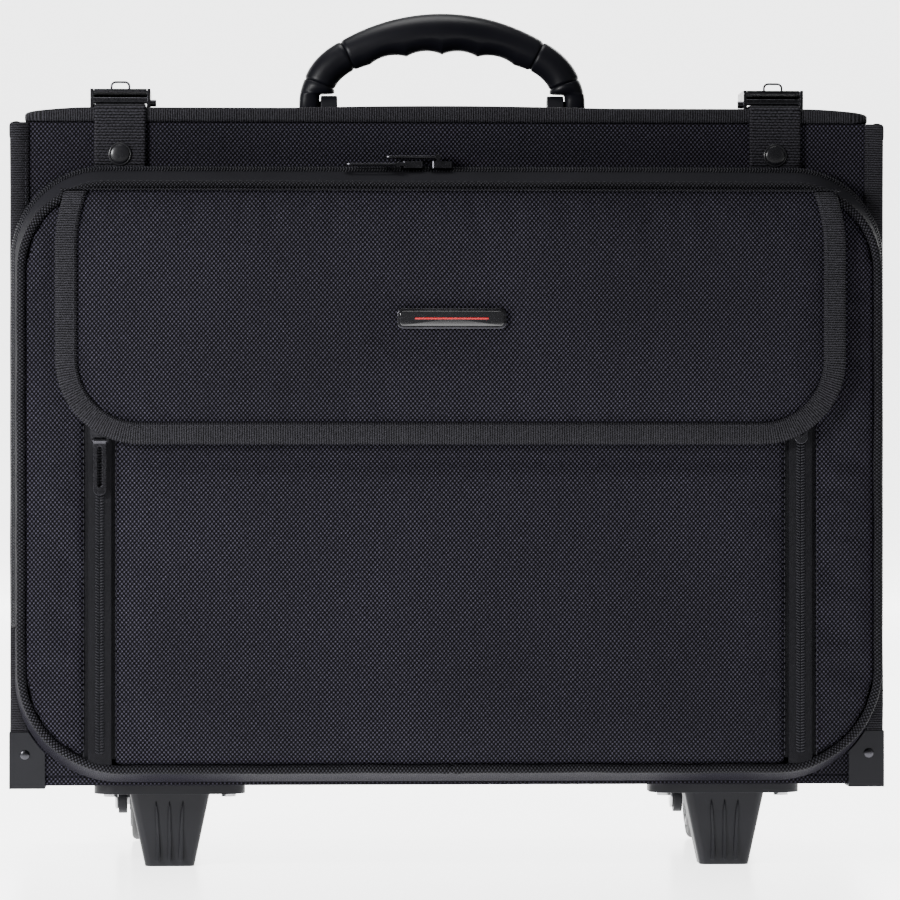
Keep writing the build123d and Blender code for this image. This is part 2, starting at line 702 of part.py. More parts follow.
def pull_tab():
    """A flat pull with a slot and a round end, and a barrel round the slider's pin."""
    flat = Pos(0, -tab_length / 2 + tab_width / 2) * SlotOverall(tab_length, tab_width, rotation=90)
    flat -= Pos(0, -tab_length / 2 + tab_width / 2 - 1.0) * SlotOverall(tab_length - 11.0, 2.6, rotation=90)
    flat &= Pos(0, -tab_length / 2) * Rectangle(2 * tab_width, tab_length)
    half = tab_width / 2
    hung = slab(flat, tab_thick / 2, -tab_thick / 2) + rod("X", -half, half, (0, 0), tab_barrel_r)
    return hung - rod("X", -half, half, (0, 0), tab_pin_r + run_gap)


def top_frame(i):
    """Where the pin of each top slider is, with its pull lying over to the left."""
    raised = top_pin_raised[i]
    x = top_slider_x[i] - slider_length / 2 - top_body_start[i]
    z = top_slider_low + slider_thick / 2 + raised
    return Plane(origin=(x, top_coil_y + top_tab_shift[i], z), x_dir=(0, -1, 0), z_dir=(1, 0, 0))


def make_sliders():
    for i, (side, s) in enumerate(SIDES):
        place = top_frame(i)
        save(f"top_slider_{side}", place * slider(top_pin_raised[i], top_body_start[i], top_tab_shift[i]))
        save(f"top_tab_{side}", place * pull_tab())
        place = Pos(s * side_zip_x, slider_back - slider_thick / 2, side_tab_hinge_z[i])
        save(f"side_slider_{side}", place * slider(0, 1.9, 0))
        save(f"side_tab_{side}", place * pull_tab())


if __name__ == "__main__":
    os.makedirs("parts", exist_ok=True)
    make_box()
    make_lining()
    make_binding()
    make_guards()
    make_fixed_zip_tape()
    make_snap_studs()
    make_feet()
    make_wheels()
    make_trolley()
    make_back_cover()
    make_lid()
    make_handle()
    make_straps_and_latches()
    make_pocket()
    make_flap()
    make_sliders()
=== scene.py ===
# %% [markdown]
# # A rolling flight case, dressed in cloth
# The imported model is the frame: it holds every size, hinge and slide, in metres, with Z up and the
# case's front towards -Y. This lesson dresses it. Hard parts get softened edges and worn finishes,
# and every cloth part is rebuilt as sewn goods: woven nylon, ribbed tape, piping, zips and webbing.
# %% Load the frame
import math
import bmesh
import bpy
import numpy as np
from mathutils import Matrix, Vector, noise


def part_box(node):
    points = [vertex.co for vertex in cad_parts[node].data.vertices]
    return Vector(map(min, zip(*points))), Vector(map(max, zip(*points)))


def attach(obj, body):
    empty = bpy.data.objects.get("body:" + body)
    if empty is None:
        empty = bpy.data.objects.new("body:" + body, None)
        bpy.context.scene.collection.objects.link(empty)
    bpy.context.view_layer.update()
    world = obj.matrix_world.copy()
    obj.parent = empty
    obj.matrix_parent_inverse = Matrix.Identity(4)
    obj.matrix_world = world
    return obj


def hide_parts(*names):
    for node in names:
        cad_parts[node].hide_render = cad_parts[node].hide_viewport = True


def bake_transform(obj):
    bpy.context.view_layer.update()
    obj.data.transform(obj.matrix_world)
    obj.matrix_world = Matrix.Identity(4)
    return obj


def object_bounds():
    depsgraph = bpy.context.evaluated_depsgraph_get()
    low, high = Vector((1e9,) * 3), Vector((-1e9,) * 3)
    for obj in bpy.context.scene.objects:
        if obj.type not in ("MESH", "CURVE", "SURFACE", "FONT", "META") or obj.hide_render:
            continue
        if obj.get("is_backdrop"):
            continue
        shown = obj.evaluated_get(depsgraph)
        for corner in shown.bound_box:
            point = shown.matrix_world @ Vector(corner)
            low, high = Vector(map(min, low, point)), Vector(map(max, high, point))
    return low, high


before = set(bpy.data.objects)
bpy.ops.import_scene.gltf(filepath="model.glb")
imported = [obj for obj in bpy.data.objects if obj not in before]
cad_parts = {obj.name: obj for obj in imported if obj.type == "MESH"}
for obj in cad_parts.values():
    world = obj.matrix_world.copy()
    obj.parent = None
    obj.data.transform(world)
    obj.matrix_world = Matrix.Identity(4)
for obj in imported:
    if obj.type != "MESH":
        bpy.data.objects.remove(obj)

cad_box = [list(corner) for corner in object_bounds()]
MM = 0.001


def corners(node):
    """A node's lowest and highest corner as two number lists, in metres."""
    low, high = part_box(node)
    return list(low), list(high)


# %% [markdown]
# ## Where it is seen from
# A catalogue view of a case is nearly square on, from far away, at half the case's height. A long
# lens keeps the sides parallel; standing a little to the left shows the inner faces of the legs.
# The camera comes first, because everything after it is judged through it.
# %% Camera
wall_low, wall_high = corners("front_wall")
front_y = wall_low[1]
eye_height = 0.229
stand_off = 2.7
seen_width = 0.4947
eye = Vector((-0.113, front_y - stand_off, eye_height))
aim = Vector((0.001, front_y, eye_height))
camera = bpy.data.objects.new("camera", bpy.data.cameras.new("camera"))
bpy.context.scene.collection.objects.link(camera)
camera.location = eye
camera.rotation_euler = (aim - eye).to_track_quat("-Z", "Y").to_euler()
camera.data.angle = 2 * math.atan(seen_width / 2 / (aim - eye).length)
camera.data.clip_end = 50
bpy.context.scene.camera = camera
print("lens angle", round(math.degrees(camera.data.angle), 2))

# %% [markdown]
# ## A pale sweep and soft light
# Black cloth shows its weave only in light that grazes it, so the key is a small lamp close by on
# the left. A weak one fills from the right, a wide one above lights the lid, and one behind draws
# the handle's edge. The floor and the backdrop are one bent sheet, so there is no horizon line; it
# glows behind the case and hardly at all in front.
# %% Floor, backdrop and lamps
def sweep_paper():
    """Pale paper that glows behind the case and under it, and hardly at all in front, where a bright
    floor would light the front panel from below."""
    paper = bpy.data.materials.new("sweep_paper")
    paper.use_nodes = True
    tree = paper.node_tree
    shader = tree.nodes["Principled BSDF"]
    for socket in ("Base Color", "Emission Color"):
        shader.inputs[socket].default_value = (0.94, 0.94, 0.94, 1)
    shader.inputs["Roughness"].default_value = 0.22
    place = tree.nodes.new("ShaderNodeTexCoord").outputs["Object"]
    parts = tree.nodes.new("ShaderNodeSeparateXYZ")
    fade = tree.nodes.new("ShaderNodeMapRange")
    fade.interpolation_type = "SMOOTHSTEP"
    for socket, value in (("From Min", -1.3), ("From Max", -0.35), ("To Min", 0.3), ("To Max", 3.2)):
        fade.inputs[socket].default_value = value
    tree.links.new(place, parts.inputs[0])
    tree.links.new(parts.outputs["Y"], fade.inputs[0])
    tree.links.new(fade.outputs[0], shader.inputs["Emission Strength"])
    return paper


def make_sweep():
    """The floor runs back, then bends up in a quarter circle into the backdrop."""
    front, half_wide, back, bend, high, bend_steps = -6.0, 6.0, 4.4, 1.6, 4.4, 12
    profile = [(front, 0.0), (back, 0.0)]
    for step in range(1, bend_steps + 1):
        turn = step / bend_steps * math.pi / 2
        profile.append((back + bend * math.sin(turn), bend - bend * math.cos(turn)))
    profile.append((back + bend, high))
    verts = [(x, y, z) for x in (-half_wide, half_wide) for y, z in profile]
    n = len(profile)
    faces = [(i, i + 1, n + i + 1, n + i) for i in range(n - 1)]
    mesh = bpy.data.meshes.new("sweep")
    mesh.from_pydata(verts, [], faces)
    mesh.shade_smooth()
    sweep_sheet = bpy.data.objects.new("sweep", mesh)
    bpy.context.scene.collection.objects.link(sweep_sheet)
    mesh.materials.append(sweep_paper())
    sweep_sheet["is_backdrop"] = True


def lamp(name, place, target, size, power):
    light = bpy.data.lights.new(name, "AREA")
    light.energy = power
    light.shape = "DISK"
    light.size = size
    stand = bpy.data.objects.new(name, light)
    stand.location = place
    stand.rotation_euler = (Vector(target) - Vector(place)).to_track_quat("-Z", "Y").to_euler()
    bpy.context.scene.collection.objects.link(stand)


make_sweep()
lamp("key", (-0.86, -0.84, 0.60), (-0.1, -0.12, 0.24), 0.42, 27)
lamp("fill", (1.9, -2.0, 0.9), (0, 0, 0.22), 1.3, 2)
lamp("top", (-0.2, 0.1, 2.3), (0, 0, 0.3), 1.3, 40)
lamp("back", (0.9, 1.9, 1.4), (0, 0, 0.4), 0.9, 26)
world = bpy.data.worlds.new("room")
world.use_nodes = True
world.node_tree.nodes["Background"].inputs["Color"].default_value = (1.0, 1.0, 1.0, 1)
world.node_tree.nodes["Background"].inputs["Strength"].default_value = 0.2
bpy.context.scene.world = world

# %% [markdown]
# ## Mesh helpers
# Nearly all of a case is something drawn along a line: tape, piping, webbing, wire, a handle. One
# helper sweeps a section along a path, and lays a length-true cloth map on it, so that ribs and
# weave keep their real pitch and turn with the piece. Another rounds a box, and a third scatters
# small grains along a line for stitches and zip teeth.
# %% Paths and lengths
def lengths(points, loop=False):
    """The running length along a line of points, with one more value when it closes."""
    points = np.asarray(points, float)
    if loop:
        points = np.vstack([points, points[:1]])
    return np.concatenate([[0], np.cumsum(np.linalg.norm(np.diff(points, axis=0), axis=1))])


def unit(v):
    v = np.asarray(v, float)
    return v / np.maximum(np.linalg.norm(v, axis=-1, keepdims=True), 1e-12)


def line_of(x, y, z):
    """A line of points from its coordinates. A single number is the same all along it."""
    return np.stack(np.broadcast_arrays(*(np.asarray(k, float) for k in (x, y, z))), 1)


def outline(half, low, high, round_low, round_high, cells):
    """A rounded rectangle in X and Z: points and outward normals, from the bottom middle round by +X.
    cells gives how many steps a straight across, an upright and a corner take."""
    across, upright, corner = cells
    points, normals = [], []

    def straight(start, end, normal, steps):
        for i in range(steps):
            f = i / steps
            points.append((start[0] + (end[0] - start[0]) * f, 0, start[1] + (end[1] - start[1]) * f))
            normals.append((normal[0], 0, normal[1]))

    def turn(cx, cz, r, start):
        for i in range(corner):
            a = start + i / corner * math.pi / 2
            points.append((cx + r * math.cos(a), 0, cz + r * math.sin(a)))
            normals.append((math.cos(a), 0, math.sin(a)))

    x_low, x_high = half - round_low, half - round_high
    straight((0, low), (x_low, low), (0, -1), across)
    turn(x_low, low + round_low, round_low, -math.pi / 2)
    straight((half, low + round_low), (half, high - round_high), (1, 0), upright)
    turn(x_high, high - round_high, round_high, 0)
    straight((x_high, high), (-x_high, high), (0, 1), 2 * across)
    turn(-x_high, high - round_high, round_high, math.pi / 2)
    straight((-half, high - round_high), (-half, low + round_low), (-1, 0), upright)
    turn(-x_low, low + round_low, round_low, math.pi)
    straight((-x_low, low), (0, low), (0, -1), across)
    return np.array(points), np.array(normals)


def ring_section(radius, sides=10, flat=1.0):
    turn = np.arange(sides) / sides * 2 * math.pi
    return np.stack([radius * np.cos(turn), radius * flat * np.sin(turn)], 1)


def bar_section(width, thick, r, steps=3):
    """A flat bar's section with rounded corners, width along a and thickness along b."""
    section = []
    for cx, cy, start in ((1, -1, -0.5), (1, 1, 0), (-1, 1, 0.5), (-1, -1, 1)):
        for i in range(steps + 1):
            a = (start + i / steps / 2) * math.pi
            section.append((cx * (width / 2 - r) + r * math.cos(a), cy * (thick / 2 - r) + r * math.sin(a)))
    return np.array(section)


# %% Surfaces
def make_object(name, verts, faces, uvs=None):
    mesh = bpy.data.meshes.new(name)
    mesh.from_pydata(np.asarray(verts, float).tolist(), [], [list(f) for f in faces])
    layer = mesh.uv_layers.new(name="cloth")
    if uvs is not None:
        layer.data.foreach_set("uv", np.asarray(uvs, np.float32).ravel())
    mesh.shade_smooth()
    piece = bpy.data.objects.new(name, mesh)
    bpy.context.scene.collection.objects.link(piece)
    return piece


def outward(piece):
    """Turns every face of a closed piece outward."""
    work = bmesh.new()
    work.from_mesh(piece.data)
    bmesh.ops.recalc_face_normals(work, faces=work.faces)
    work.to_mesh(piece.data)
    work.free()
    return piece


def surface(name, rows, loop_u=False, loop_v=False, cap=False, u=None):
    """A grid of points made into faces, with the lengths along both ways as its cloth map."""
    rows = np.asarray(rows, float)
    n, m = rows.shape[:2]
    u = lengths(rows.mean(axis=1), loop_u) if u is None else u
    v = lengths(rows[n // 2], loop_v)
    faces, uvs = [], []
    for i in range(n if loop_u else n - 1):
        for j in range(m if loop_v else m - 1):
            ring = ((i, j), (i + 1, j), (i + 1, j + 1), (i, j + 1))
            faces.append([(a % n) * m + b % m for a, b in ring])
            uvs += [(u[a], v[b]) for a, b in ring]
    if cap:
        for i in (0, n - 1):
            faces.append([i * m + j for j in range(m)])
            uvs += [(u[i], v[j]) for j in range(m)]
    return outward(make_object(name, rows.reshape(-1, 3), faces, uvs))


def sweep(name, path, a_axis, b_axis, section, loop=False):
    """Draws a section along a path, capped at its ends unless it closes. a_axis and b_axis are the
    section's two directions at each point."""
    path = np.asarray(path, float)
    a = np.broadcast_to(np.asarray(a_axis, float), path.shape)
    b = np.broadcast_to(np.asarray(b_axis, float), path.shape)
    section = np.asarray(section, float)
    if section.ndim == 2:
        section = np.broadcast_to(section, (len(path),) + section.shape)
    rows = path[:, None] + section[..., :1] * a[:, None] + section[..., 1:] * b[:, None]
    return surface(name, rows, loop, True, not loop, u=lengths(path, loop))


def frames_along(path, side):
    """Two directions across a path: one kept as near as it can be to side, the other square to both."""
    along = unit(np.gradient(np.asarray(path, float), axis=0))
    b = unit(np.cross(along, np.broadcast_to(side, along.shape)))
    return unit(np.cross(b, along)), b


def bent_path(points, radii, step=0.0015):
    """Straight runs through points, with a round bend at each inner one."""
    points = [np.array(p, float) for p in points]
    line = [points[0]]
    for before, at, after, r in zip(points, points[1:], points[2:], radii):
        into, out = unit(before - at), unit(after - at)
        half = math.acos(np.clip(np.dot(into, out), -1, 1)) / 2
        start, end = at + into * r / math.tan(half), at + out * r / math.tan(half)
        centre = at + unit(into + out) * r / math.sin(half)
        steps = max(4, int(r * (math.pi - 2 * half) / step))
        for i in range(steps + 1):
            mix = start * (1 - i / steps) + end * (i / steps)
            line.append(centre + unit(mix - centre) * r)
    line.append(points[-1])
    path = [line[0]]
    for a, b in zip(line, line[1:]):
        cuts = max(1, int(np.linalg.norm(b - a) / (4 * step)))
        path += [a + (b - a) * (i + 1) / cuts for i in range(cuts)]
    return np.array(path)


# %% Rounded boxes and even cloth maps
def flat_map(piece):
    """A cloth map laid straight on each face, from the side that it faces most."""
    mesh = piece.data
    layer = mesh.uv_layers.get("cloth") or mesh.uv_layers.new(name="cloth")
    co = np.empty(len(mesh.vertices) * 3)
    mesh.vertices.foreach_get("co", co)
    loops = np.empty(len(mesh.loops), int)
    mesh.loops.foreach_get("vertex_index", loops)
    normal = np.empty(len(mesh.polygons) * 3)
    mesh.polygons.foreach_get("normal", normal)
    count = np.empty(len(mesh.polygons), int)
    mesh.polygons.foreach_get("loop_total", count)
    most = np.repeat(np.abs(normal.reshape(-1, 3)).argmax(1), count)
    at = co.reshape(-1, 3)[loops]
    u = np.where(most == 0, at[:, 1], at[:, 0])
    v = np.where(most == 2, at[:, 1], at[:, 2])
    layer.data.foreach_set("uv", np.stack([u, v], 1).astype(np.float32).ravel())
    return piece


def soft_box(name, low, high, r, cell, crown=(), bow=None):
    """A box with rounded edges. crown lists (axis, side, height): how far a face swells in its middle.
    bow may move the finished points."""
    low, high = np.array(low, float), np.array(high, float)
    r = min(r, (high - low).min() / 2 - 1e-5)
    lines = []
    for k in range(3):
        edge = r * (1 - np.cos(np.linspace(0, math.pi / 2, 4)))
        inner = np.linspace(low[k] + r, high[k] - r, max(2, int((high[k] - low[k]) / cell)))
        lines.append(np.unique(np.round(np.concatenate([low[k] + edge, inner, high[k] - edge]), 7)))
    swell_by = {(axis, side): height for axis, side, height in crown}
    verts, faces = [], []
    for axis in range(3):
        first, second = [k for k in range(3) if k != axis]
        for side in (-1, 1):
            s, t = np.meshgrid(lines[first], lines[second], indexing="ij")
            p = np.empty(s.shape + (3,))
            p[..., first], p[..., second] = s, t
            p[..., axis] = low[axis] if side < 0 else high[axis]
            core = np.clip(p, low + r, high - r)
            p = core + unit(p - core) * r
            f = 2 * (s - low[first]) / (high[first] - low[first]) - 1
            g = 2 * (t - low[second]) / (high[second] - low[second]) - 1
            middle = np.clip(1 - f ** 2, 0, 1) * np.clip(1 - g ** 2, 0, 1)
            p[..., axis] += side * swell_by.get((axis, side), 0) * middle ** 0.6
            base = sum(len(v) for v in verts)
            verts.append(p.reshape(-1, 3))
            n, m = s.shape
            square = (0, m, m + 1, 1)
            faces += [tuple(base + i * m + j + k for k in square) for i in range(n - 1) for j in range(m - 1)]
    verts = np.vstack(verts)
    if bow:
        verts = bow(verts)
    piece = make_object(name, verts, faces)
    work = bmesh.new()
    work.from_mesh(piece.data)
    bmesh.ops.remove_doubles(work, verts=work.verts, dist=2e-6)
    bmesh.ops.recalc_face_normals(work, faces=work.faces)
    work.to_mesh(piece.data)
    work.free()
    return flat_map(piece)


def softened(name, node, width):
    """A hard part from the frame with its sharp edges rounded off."""
    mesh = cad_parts[node].data.copy()
    mesh.name = name
    work = bmesh.new()
    work.from_mesh(mesh)
    bmesh.ops.remove_doubles(work, verts=work.verts, dist=1e-6)
    bmesh.ops.dissolve_limit(work, angle_limit=math.radians(0.6), verts=work.verts, edges=work.edges)
    sharp = [e for e in work.edges if len(e.link_faces) == 2 and e.calc_face_angle() > math.radians(35)]
    bmesh.ops.bevel(work, geom=sharp, offset=width, segments=2, profile=0.5, affect="EDGES",
                    clamp_overlap=True)
    work.to_mesh(mesh)
    work.free()
    mesh.materials.clear()
    mesh.shade_smooth()
    mesh.set_sharp_from_angle(angle=math.radians(42))
    piece = bpy.data.objects.new(name, mesh)
    bpy.context.scene.collection.objects.link(piece)
    return flat_map(piece)


# %% Grains: stitches and zip teeth
def grains(name, places, long_axis, wide_axis, size, sides=6, rings=4):
    """Small rounded grains, one at each place. size is half the length, width and height."""
    places = np.asarray(places, float)
    long_axis = unit(np.broadcast_to(long_axis, places.shape))
    wide_axis = unit(np.broadcast_to(wide_axis, places.shape))
    high_axis = np.cross(long_axis, wide_axis)
    template = []
    for i in range(rings + 1):
        a = math.pi * i / rings
        r = math.sin(a) ** 0.7 if 0 < i < rings else 0.12
        template += [(math.cos(a), r * math.cos(t), r * math.sin(t))
                     for t in np.arange(sides) / sides * 2 * math.pi]
    template = np.array(template) * np.array(size)
    verts = (places[:, None] + template[None, :, :1] * long_axis[:, None]
             + template[None, :, 1:2] * wide_axis[:, None] + template[None, :, 2:] * high_axis[:, None])
    one = []
    for i in range(rings):
        for j in range(sides):
            near, far, after = i * sides, (i + 1) * sides, (j + 1) % sides
            one.append((near + j, near + after, far + after, far + j))
    one += [tuple(range(sides)), tuple(rings * sides + j for j in range(sides))]
    step = len(template)
    faces = [tuple(k * step + v for v in face) for k in range(len(places)) for face in one]
    return outward(make_object(name, verts.reshape(-1, 3), faces))


def along(path, others, pitch, start=0.0, loop=False):
    """Points every pitch along a path, with each array in others carried to them."""
    path = np.asarray(path, float)
    run = lengths(path, loop)
    closed = [np.vstack([arr, arr[:1]]) if loop else np.asarray(arr, float) for arr in [path] + list(others)]
    at = np.arange(start, run[-1] - pitch / 3, pitch)
    return [np.stack([np.interp(at, run, arr[:, k]) for k in range(3)], 1) for arr in closed]


def stitch_row(name, path, out_axis, loop=False, pitch=0.0036, lift=0.0):
    """A row of thread stitches that lie along a path, on the side that out_axis faces."""
    path = np.asarray(path, float)
    out_axis = np.broadcast_to(np.asarray(out_axis, float), path.shape)
    if loop:
        ahead = unit(np.roll(path, -1, 0) - np.roll(path, 1, 0))
    else:
        ahead = unit(np.gradient(path, axis=0))
    at, ahead, out = along(path, [ahead, out_axis], pitch, pitch / 2, loop)
    across = np.cross(unit(out), unit(ahead))
    return grains(name, at + unit(out) * lift, ahead, across, (pitch * 0.37, 0.00034, 0.00028))


print("helpers ready")

# %% [markdown]
# ## Finishes
# Each finish is a small node tree around one shader. Woven goods read the cloth map, in metres, so
# a thread has its true width on every piece: ballistic nylon is a basket weave of fat twin yarns with
# gaps painted black as shade and a painted highlight on the yarns, grosgrain is a tape of fine cross
# ribs with painted shade in the troughs and painted highlight flecks, and a zip's tape is a tight flat weave.
# Moulded and plated parts use noise at two scales, one for grain and one for handling wear.
# %% Node shorthand
class Finish:
    """Builds a node tree. Sockets are passed about as they are; numbers are set on the spot."""

    def __init__(self, name, rough=0.5, metallic=0.0, specular=0.5, coat=0.0, coat_rough=0.1):
        self.material = bpy.data.materials.new(name)
        self.material.use_nodes = True
        self.tree = self.material.node_tree
        self.shader = self.tree.nodes["Principled BSDF"]
        for socket, value in (("Roughness", rough), ("Metallic", metallic),
                              ("Specular IOR Level", specular), ("Coat Weight", coat),
                              ("Coat Roughness", coat_rough)):
            self.shader.inputs[socket].default_value = value

    def node(self, kind, settings=None, **inputs):
        made = self.tree.nodes.new(kind)
        for key, value in (settings or {}).items():
            setattr(made, key, value)
        for key, value in inputs.items():
            self.put(made.inputs[int(key[1:])], value)
        return made

    def put(self, socket, value):
        if isinstance(value, bpy.types.NodeSocket):
            self.tree.links.new(value, socket)
        else:
            socket.default_value = value

    def math(self, operation, a, b=0.0, c=0.0, clamp=False):
        return self.node("ShaderNodeMath", {"operation": operation, "use_clamp": clamp},
                         _0=a, _1=b, _2=c).outputs[0]

    def cloth(self):
        """The cloth map as separate lengths across and along, in metres."""
        uv = self.node("ShaderNodeUVMap", {"uv_map": "cloth"}).outputs[0]
        parts = self.node("ShaderNodeSeparateXYZ", _0=uv).outputs
        return parts[0], parts[1]

    def place(self):
        return self.node("ShaderNodeTexCoord").outputs["Object"]

    def noise(self, scale, detail=2.0, rough=0.5, at=None):
        made = self.node("ShaderNodeTexNoise")
        self.put(made.inputs["Vector"], at or self.place())
        made.inputs["Scale"].default_value = scale
        made.inputs["Detail"].default_value = detail
        made.inputs["Roughness"].default_value = rough
        return made.outputs[0]

    def spread(self, value, low, high, out_low=0.0, out_high=1.0):
        return self.node("ShaderNodeMapRange", {"clamp": True}, _0=value, _1=low, _2=high,
                         _3=out_low, _4=out_high).outputs[0]

    def blend(self, share, first, second):
        made = self.node("ShaderNodeMix", {"data_type": "RGBA"})
        self.put(made.inputs[0], share)
        self.put(made.inputs[6], (*first, 1) if isinstance(first, tuple) else first)
        self.put(made.inputs[7], (*second, 1) if isinstance(second, tuple) else second)
        return made.outputs[2]

    def colour(self, value):
        self.put(self.shader.inputs["Base Color"], value)

    def rough(self, value):
        self.put(self.shader.inputs["Roughness"], value)

    def raise_by(self, height, depth):
        made = self.node("ShaderNodeBump")
        made.inputs["Strength"].default_value = 1.0
        made.inputs["Distance"].default_value = depth
        self.put(made.inputs["Height"], height)
        self.put(self.shader.inputs["Normal"], made.outputs[0])


# %% Woven finishes
def woven(name, pitch, dark, light, accent, depth, rough=0.6, patch=0.25, fine=2.6):
    """A tight basket weave of floats and gaps in staggered rows. The dark gaps are painted shade between
    the yarns, and accent is a painted highlight colour on the floats. pitch is a cell's width and height."""
    f = Finish(name, rough=rough, specular=0.05)
    u, v = f.cloth()
    wander = f.noise(140, 2)
    shift = f.math("MULTIPLY_ADD", wander, pitch[0] * 0.7, -pitch[0] * 0.35)
    s = f.math("DIVIDE", f.math("ADD", u, shift), pitch[0])
    t = f.math("DIVIDE", f.math("SUBTRACT", v, shift), pitch[1])

    def wave(x, turns=math.pi):
        return f.math("SINE", f.math("MULTIPLY", x, turns))

    net = f.math("MULTIPLY", wave(s), wave(t))
    lean = f.math("ADD", s, f.math("MULTIPLY", t, 0.55))
    strand = f.math("ABSOLUTE", wave(lean, math.pi * fine))
    float_share = f.spread(net, -0.30, 0.55)
    height = f.math("ADD", float_share, f.math("MULTIPLY", strand, 0.22))
    fleck = f.noise(1500, 1)
    broad = f.noise(7, 3)
    # painted shade: the gaps between the floats take the near-black dark colour
    base = f.blend(float_share, dark, light)
    # painted highlight: the bright accent colour is laid on the crowns and strands of the floats
    painted_highlight_mask = f.math("MULTIPLY", f.spread(net, 0.1, 0.9), f.spread(strand, 0.35, 0.95))
    base = f.blend(f.math("MULTIPLY", painted_highlight_mask, f.spread(fleck, 0.3, 0.7, 0.35, 1.0)), base, accent)
    f.colour(f.blend(f.spread(broad, 0.35, 0.7, 0, patch), base, dark))
    f.rough(f.spread(fleck, 0.3, 0.7, rough - 0.08, rough + 0.14))
    f.raise_by(height, depth)
    return f.material


def ribbed(name, pitch, dark, light, depth, rough=0.55, cross=0.0009):
    """A narrow tape: fine ribs across its run, each one broken into short floats. The troughs are painted
    dark as shade, and random bright flecks are painted highlights.
    """
    f = Finish(name, rough=rough, specular=0.06)
    run, side = f.cloth()
    wander = f.math("MULTIPLY", f.noise(420, 1), pitch * 0.4)
    rib = f.math("ABSOLUTE", f.math("SINE", f.math("MULTIPLY", f.math("ADD", run, wander), math.pi / pitch)))
    crest = f.math("POWER", rib, 2.0)
    row = f.math("FLOOR", f.math("DIVIDE", run, pitch))
    stagger = f.math("MULTIPLY", f.math("FLOORED_MODULO", row, 2.0), 0.5)
    float_at = f.math("FRACT", f.math("ADD", f.math("DIVIDE", side, cross), stagger))
    floats = f.math("SINE", f.math("MULTIPLY", float_at, math.pi))
    height = f.math("ADD", f.math("MULTIPLY", crest, 0.75), f.math("MULTIPLY", floats, 0.4))
    fleck = f.noise(1700, 1)
    # painted shade: the colour darkens from the lit rib crests down into the troughs
    base = f.blend(f.spread(height, 0.45, 1.1), dark, light)
    # painted highlight: random flecks brighter than the crests, standing for glints on the floats
    f.colour(f.blend(f.spread(fleck, 0.45, 0.75, 0, 0.35), base, tuple(c * 1.7 + 0.004 for c in light)))
    f.rough(f.spread(f.noise(30, 2), 0.35, 0.65, rough - 0.06, rough + 0.1))
    f.raise_by(height, depth)
    return f.material


finishes = {
    "ballistic_nylon": woven("ballistic_nylon", (0.00113, 0.0013), (0.0002, 0.0002, 0.0003),
                             (0.0125, 0.0116, 0.0172), (0.080, 0.074, 0.106), 0.00030),
    "lining_cloth": woven("lining_cloth", (0.0006, 0.0006), (0.008, 0.008, 0.01), (0.03, 0.03, 0.034),
                          (0.05, 0.05, 0.058), 0.0001),
    "grosgrain": ribbed("grosgrain", 0.0013, (0.0002, 0.0002, 0.0003), (0.0225, 0.0218, 0.0262), 0.00034),
    "belt_webbing": ribbed("belt_webbing", 0.0016, (0.0002, 0.0002, 0.0003), (0.022, 0.0213, 0.0258), 0.00036,
                           cross=0.0022),
    "zip_cloth": ribbed("zip_cloth", 0.0006, (0.0010, 0.0010, 0.0014), (0.008, 0.0079, 0.0098), 0.00010,
                        cross=0.0012),
}
print("woven finishes", len(finishes))


# %% Smooth, moulded and plated finishes
def worn(name, base, lighter, rough, metallic=0.0, grain=900, grain_depth=0.00004, coat=0.0, smear=14,
         specular=0.5, scuff=0.0, brushed=None):
    """A solid finish with fine grain, cloudy handling marks and, where asked, scuffs or brushing."""
    f = Finish(name, rough=rough, metallic=metallic, specular=specular, coat=coat)
    at = f.place()
    if brushed:
        at = f.node("ShaderNodeMapping", {}, _0=at, _3=brushed).outputs[0]
    fine = f.noise(grain, 3, 0.6, at)
    cloud = f.noise(smear, 4, 0.55)
    shade = f.blend(f.spread(cloud, 0.32, 0.72), base, lighter)
    marks = f.spread(f.noise(70, 5, 0.7), 0.62, 0.70)
    f.colour(f.blend(f.math("MULTIPLY", marks, scuff), shade, tuple(c * 2.5 + 0.02 for c in lighter)))
    wear = f.math("ADD", f.spread(cloud, 0.3, 0.7, rough - 0.07, rough + 0.08),
                  f.spread(fine, 0.35, 0.65, -0.05, 0.05), clamp=True)
    f.rough(wear)
    f.raise_by(fine, grain_depth)
    return f.material


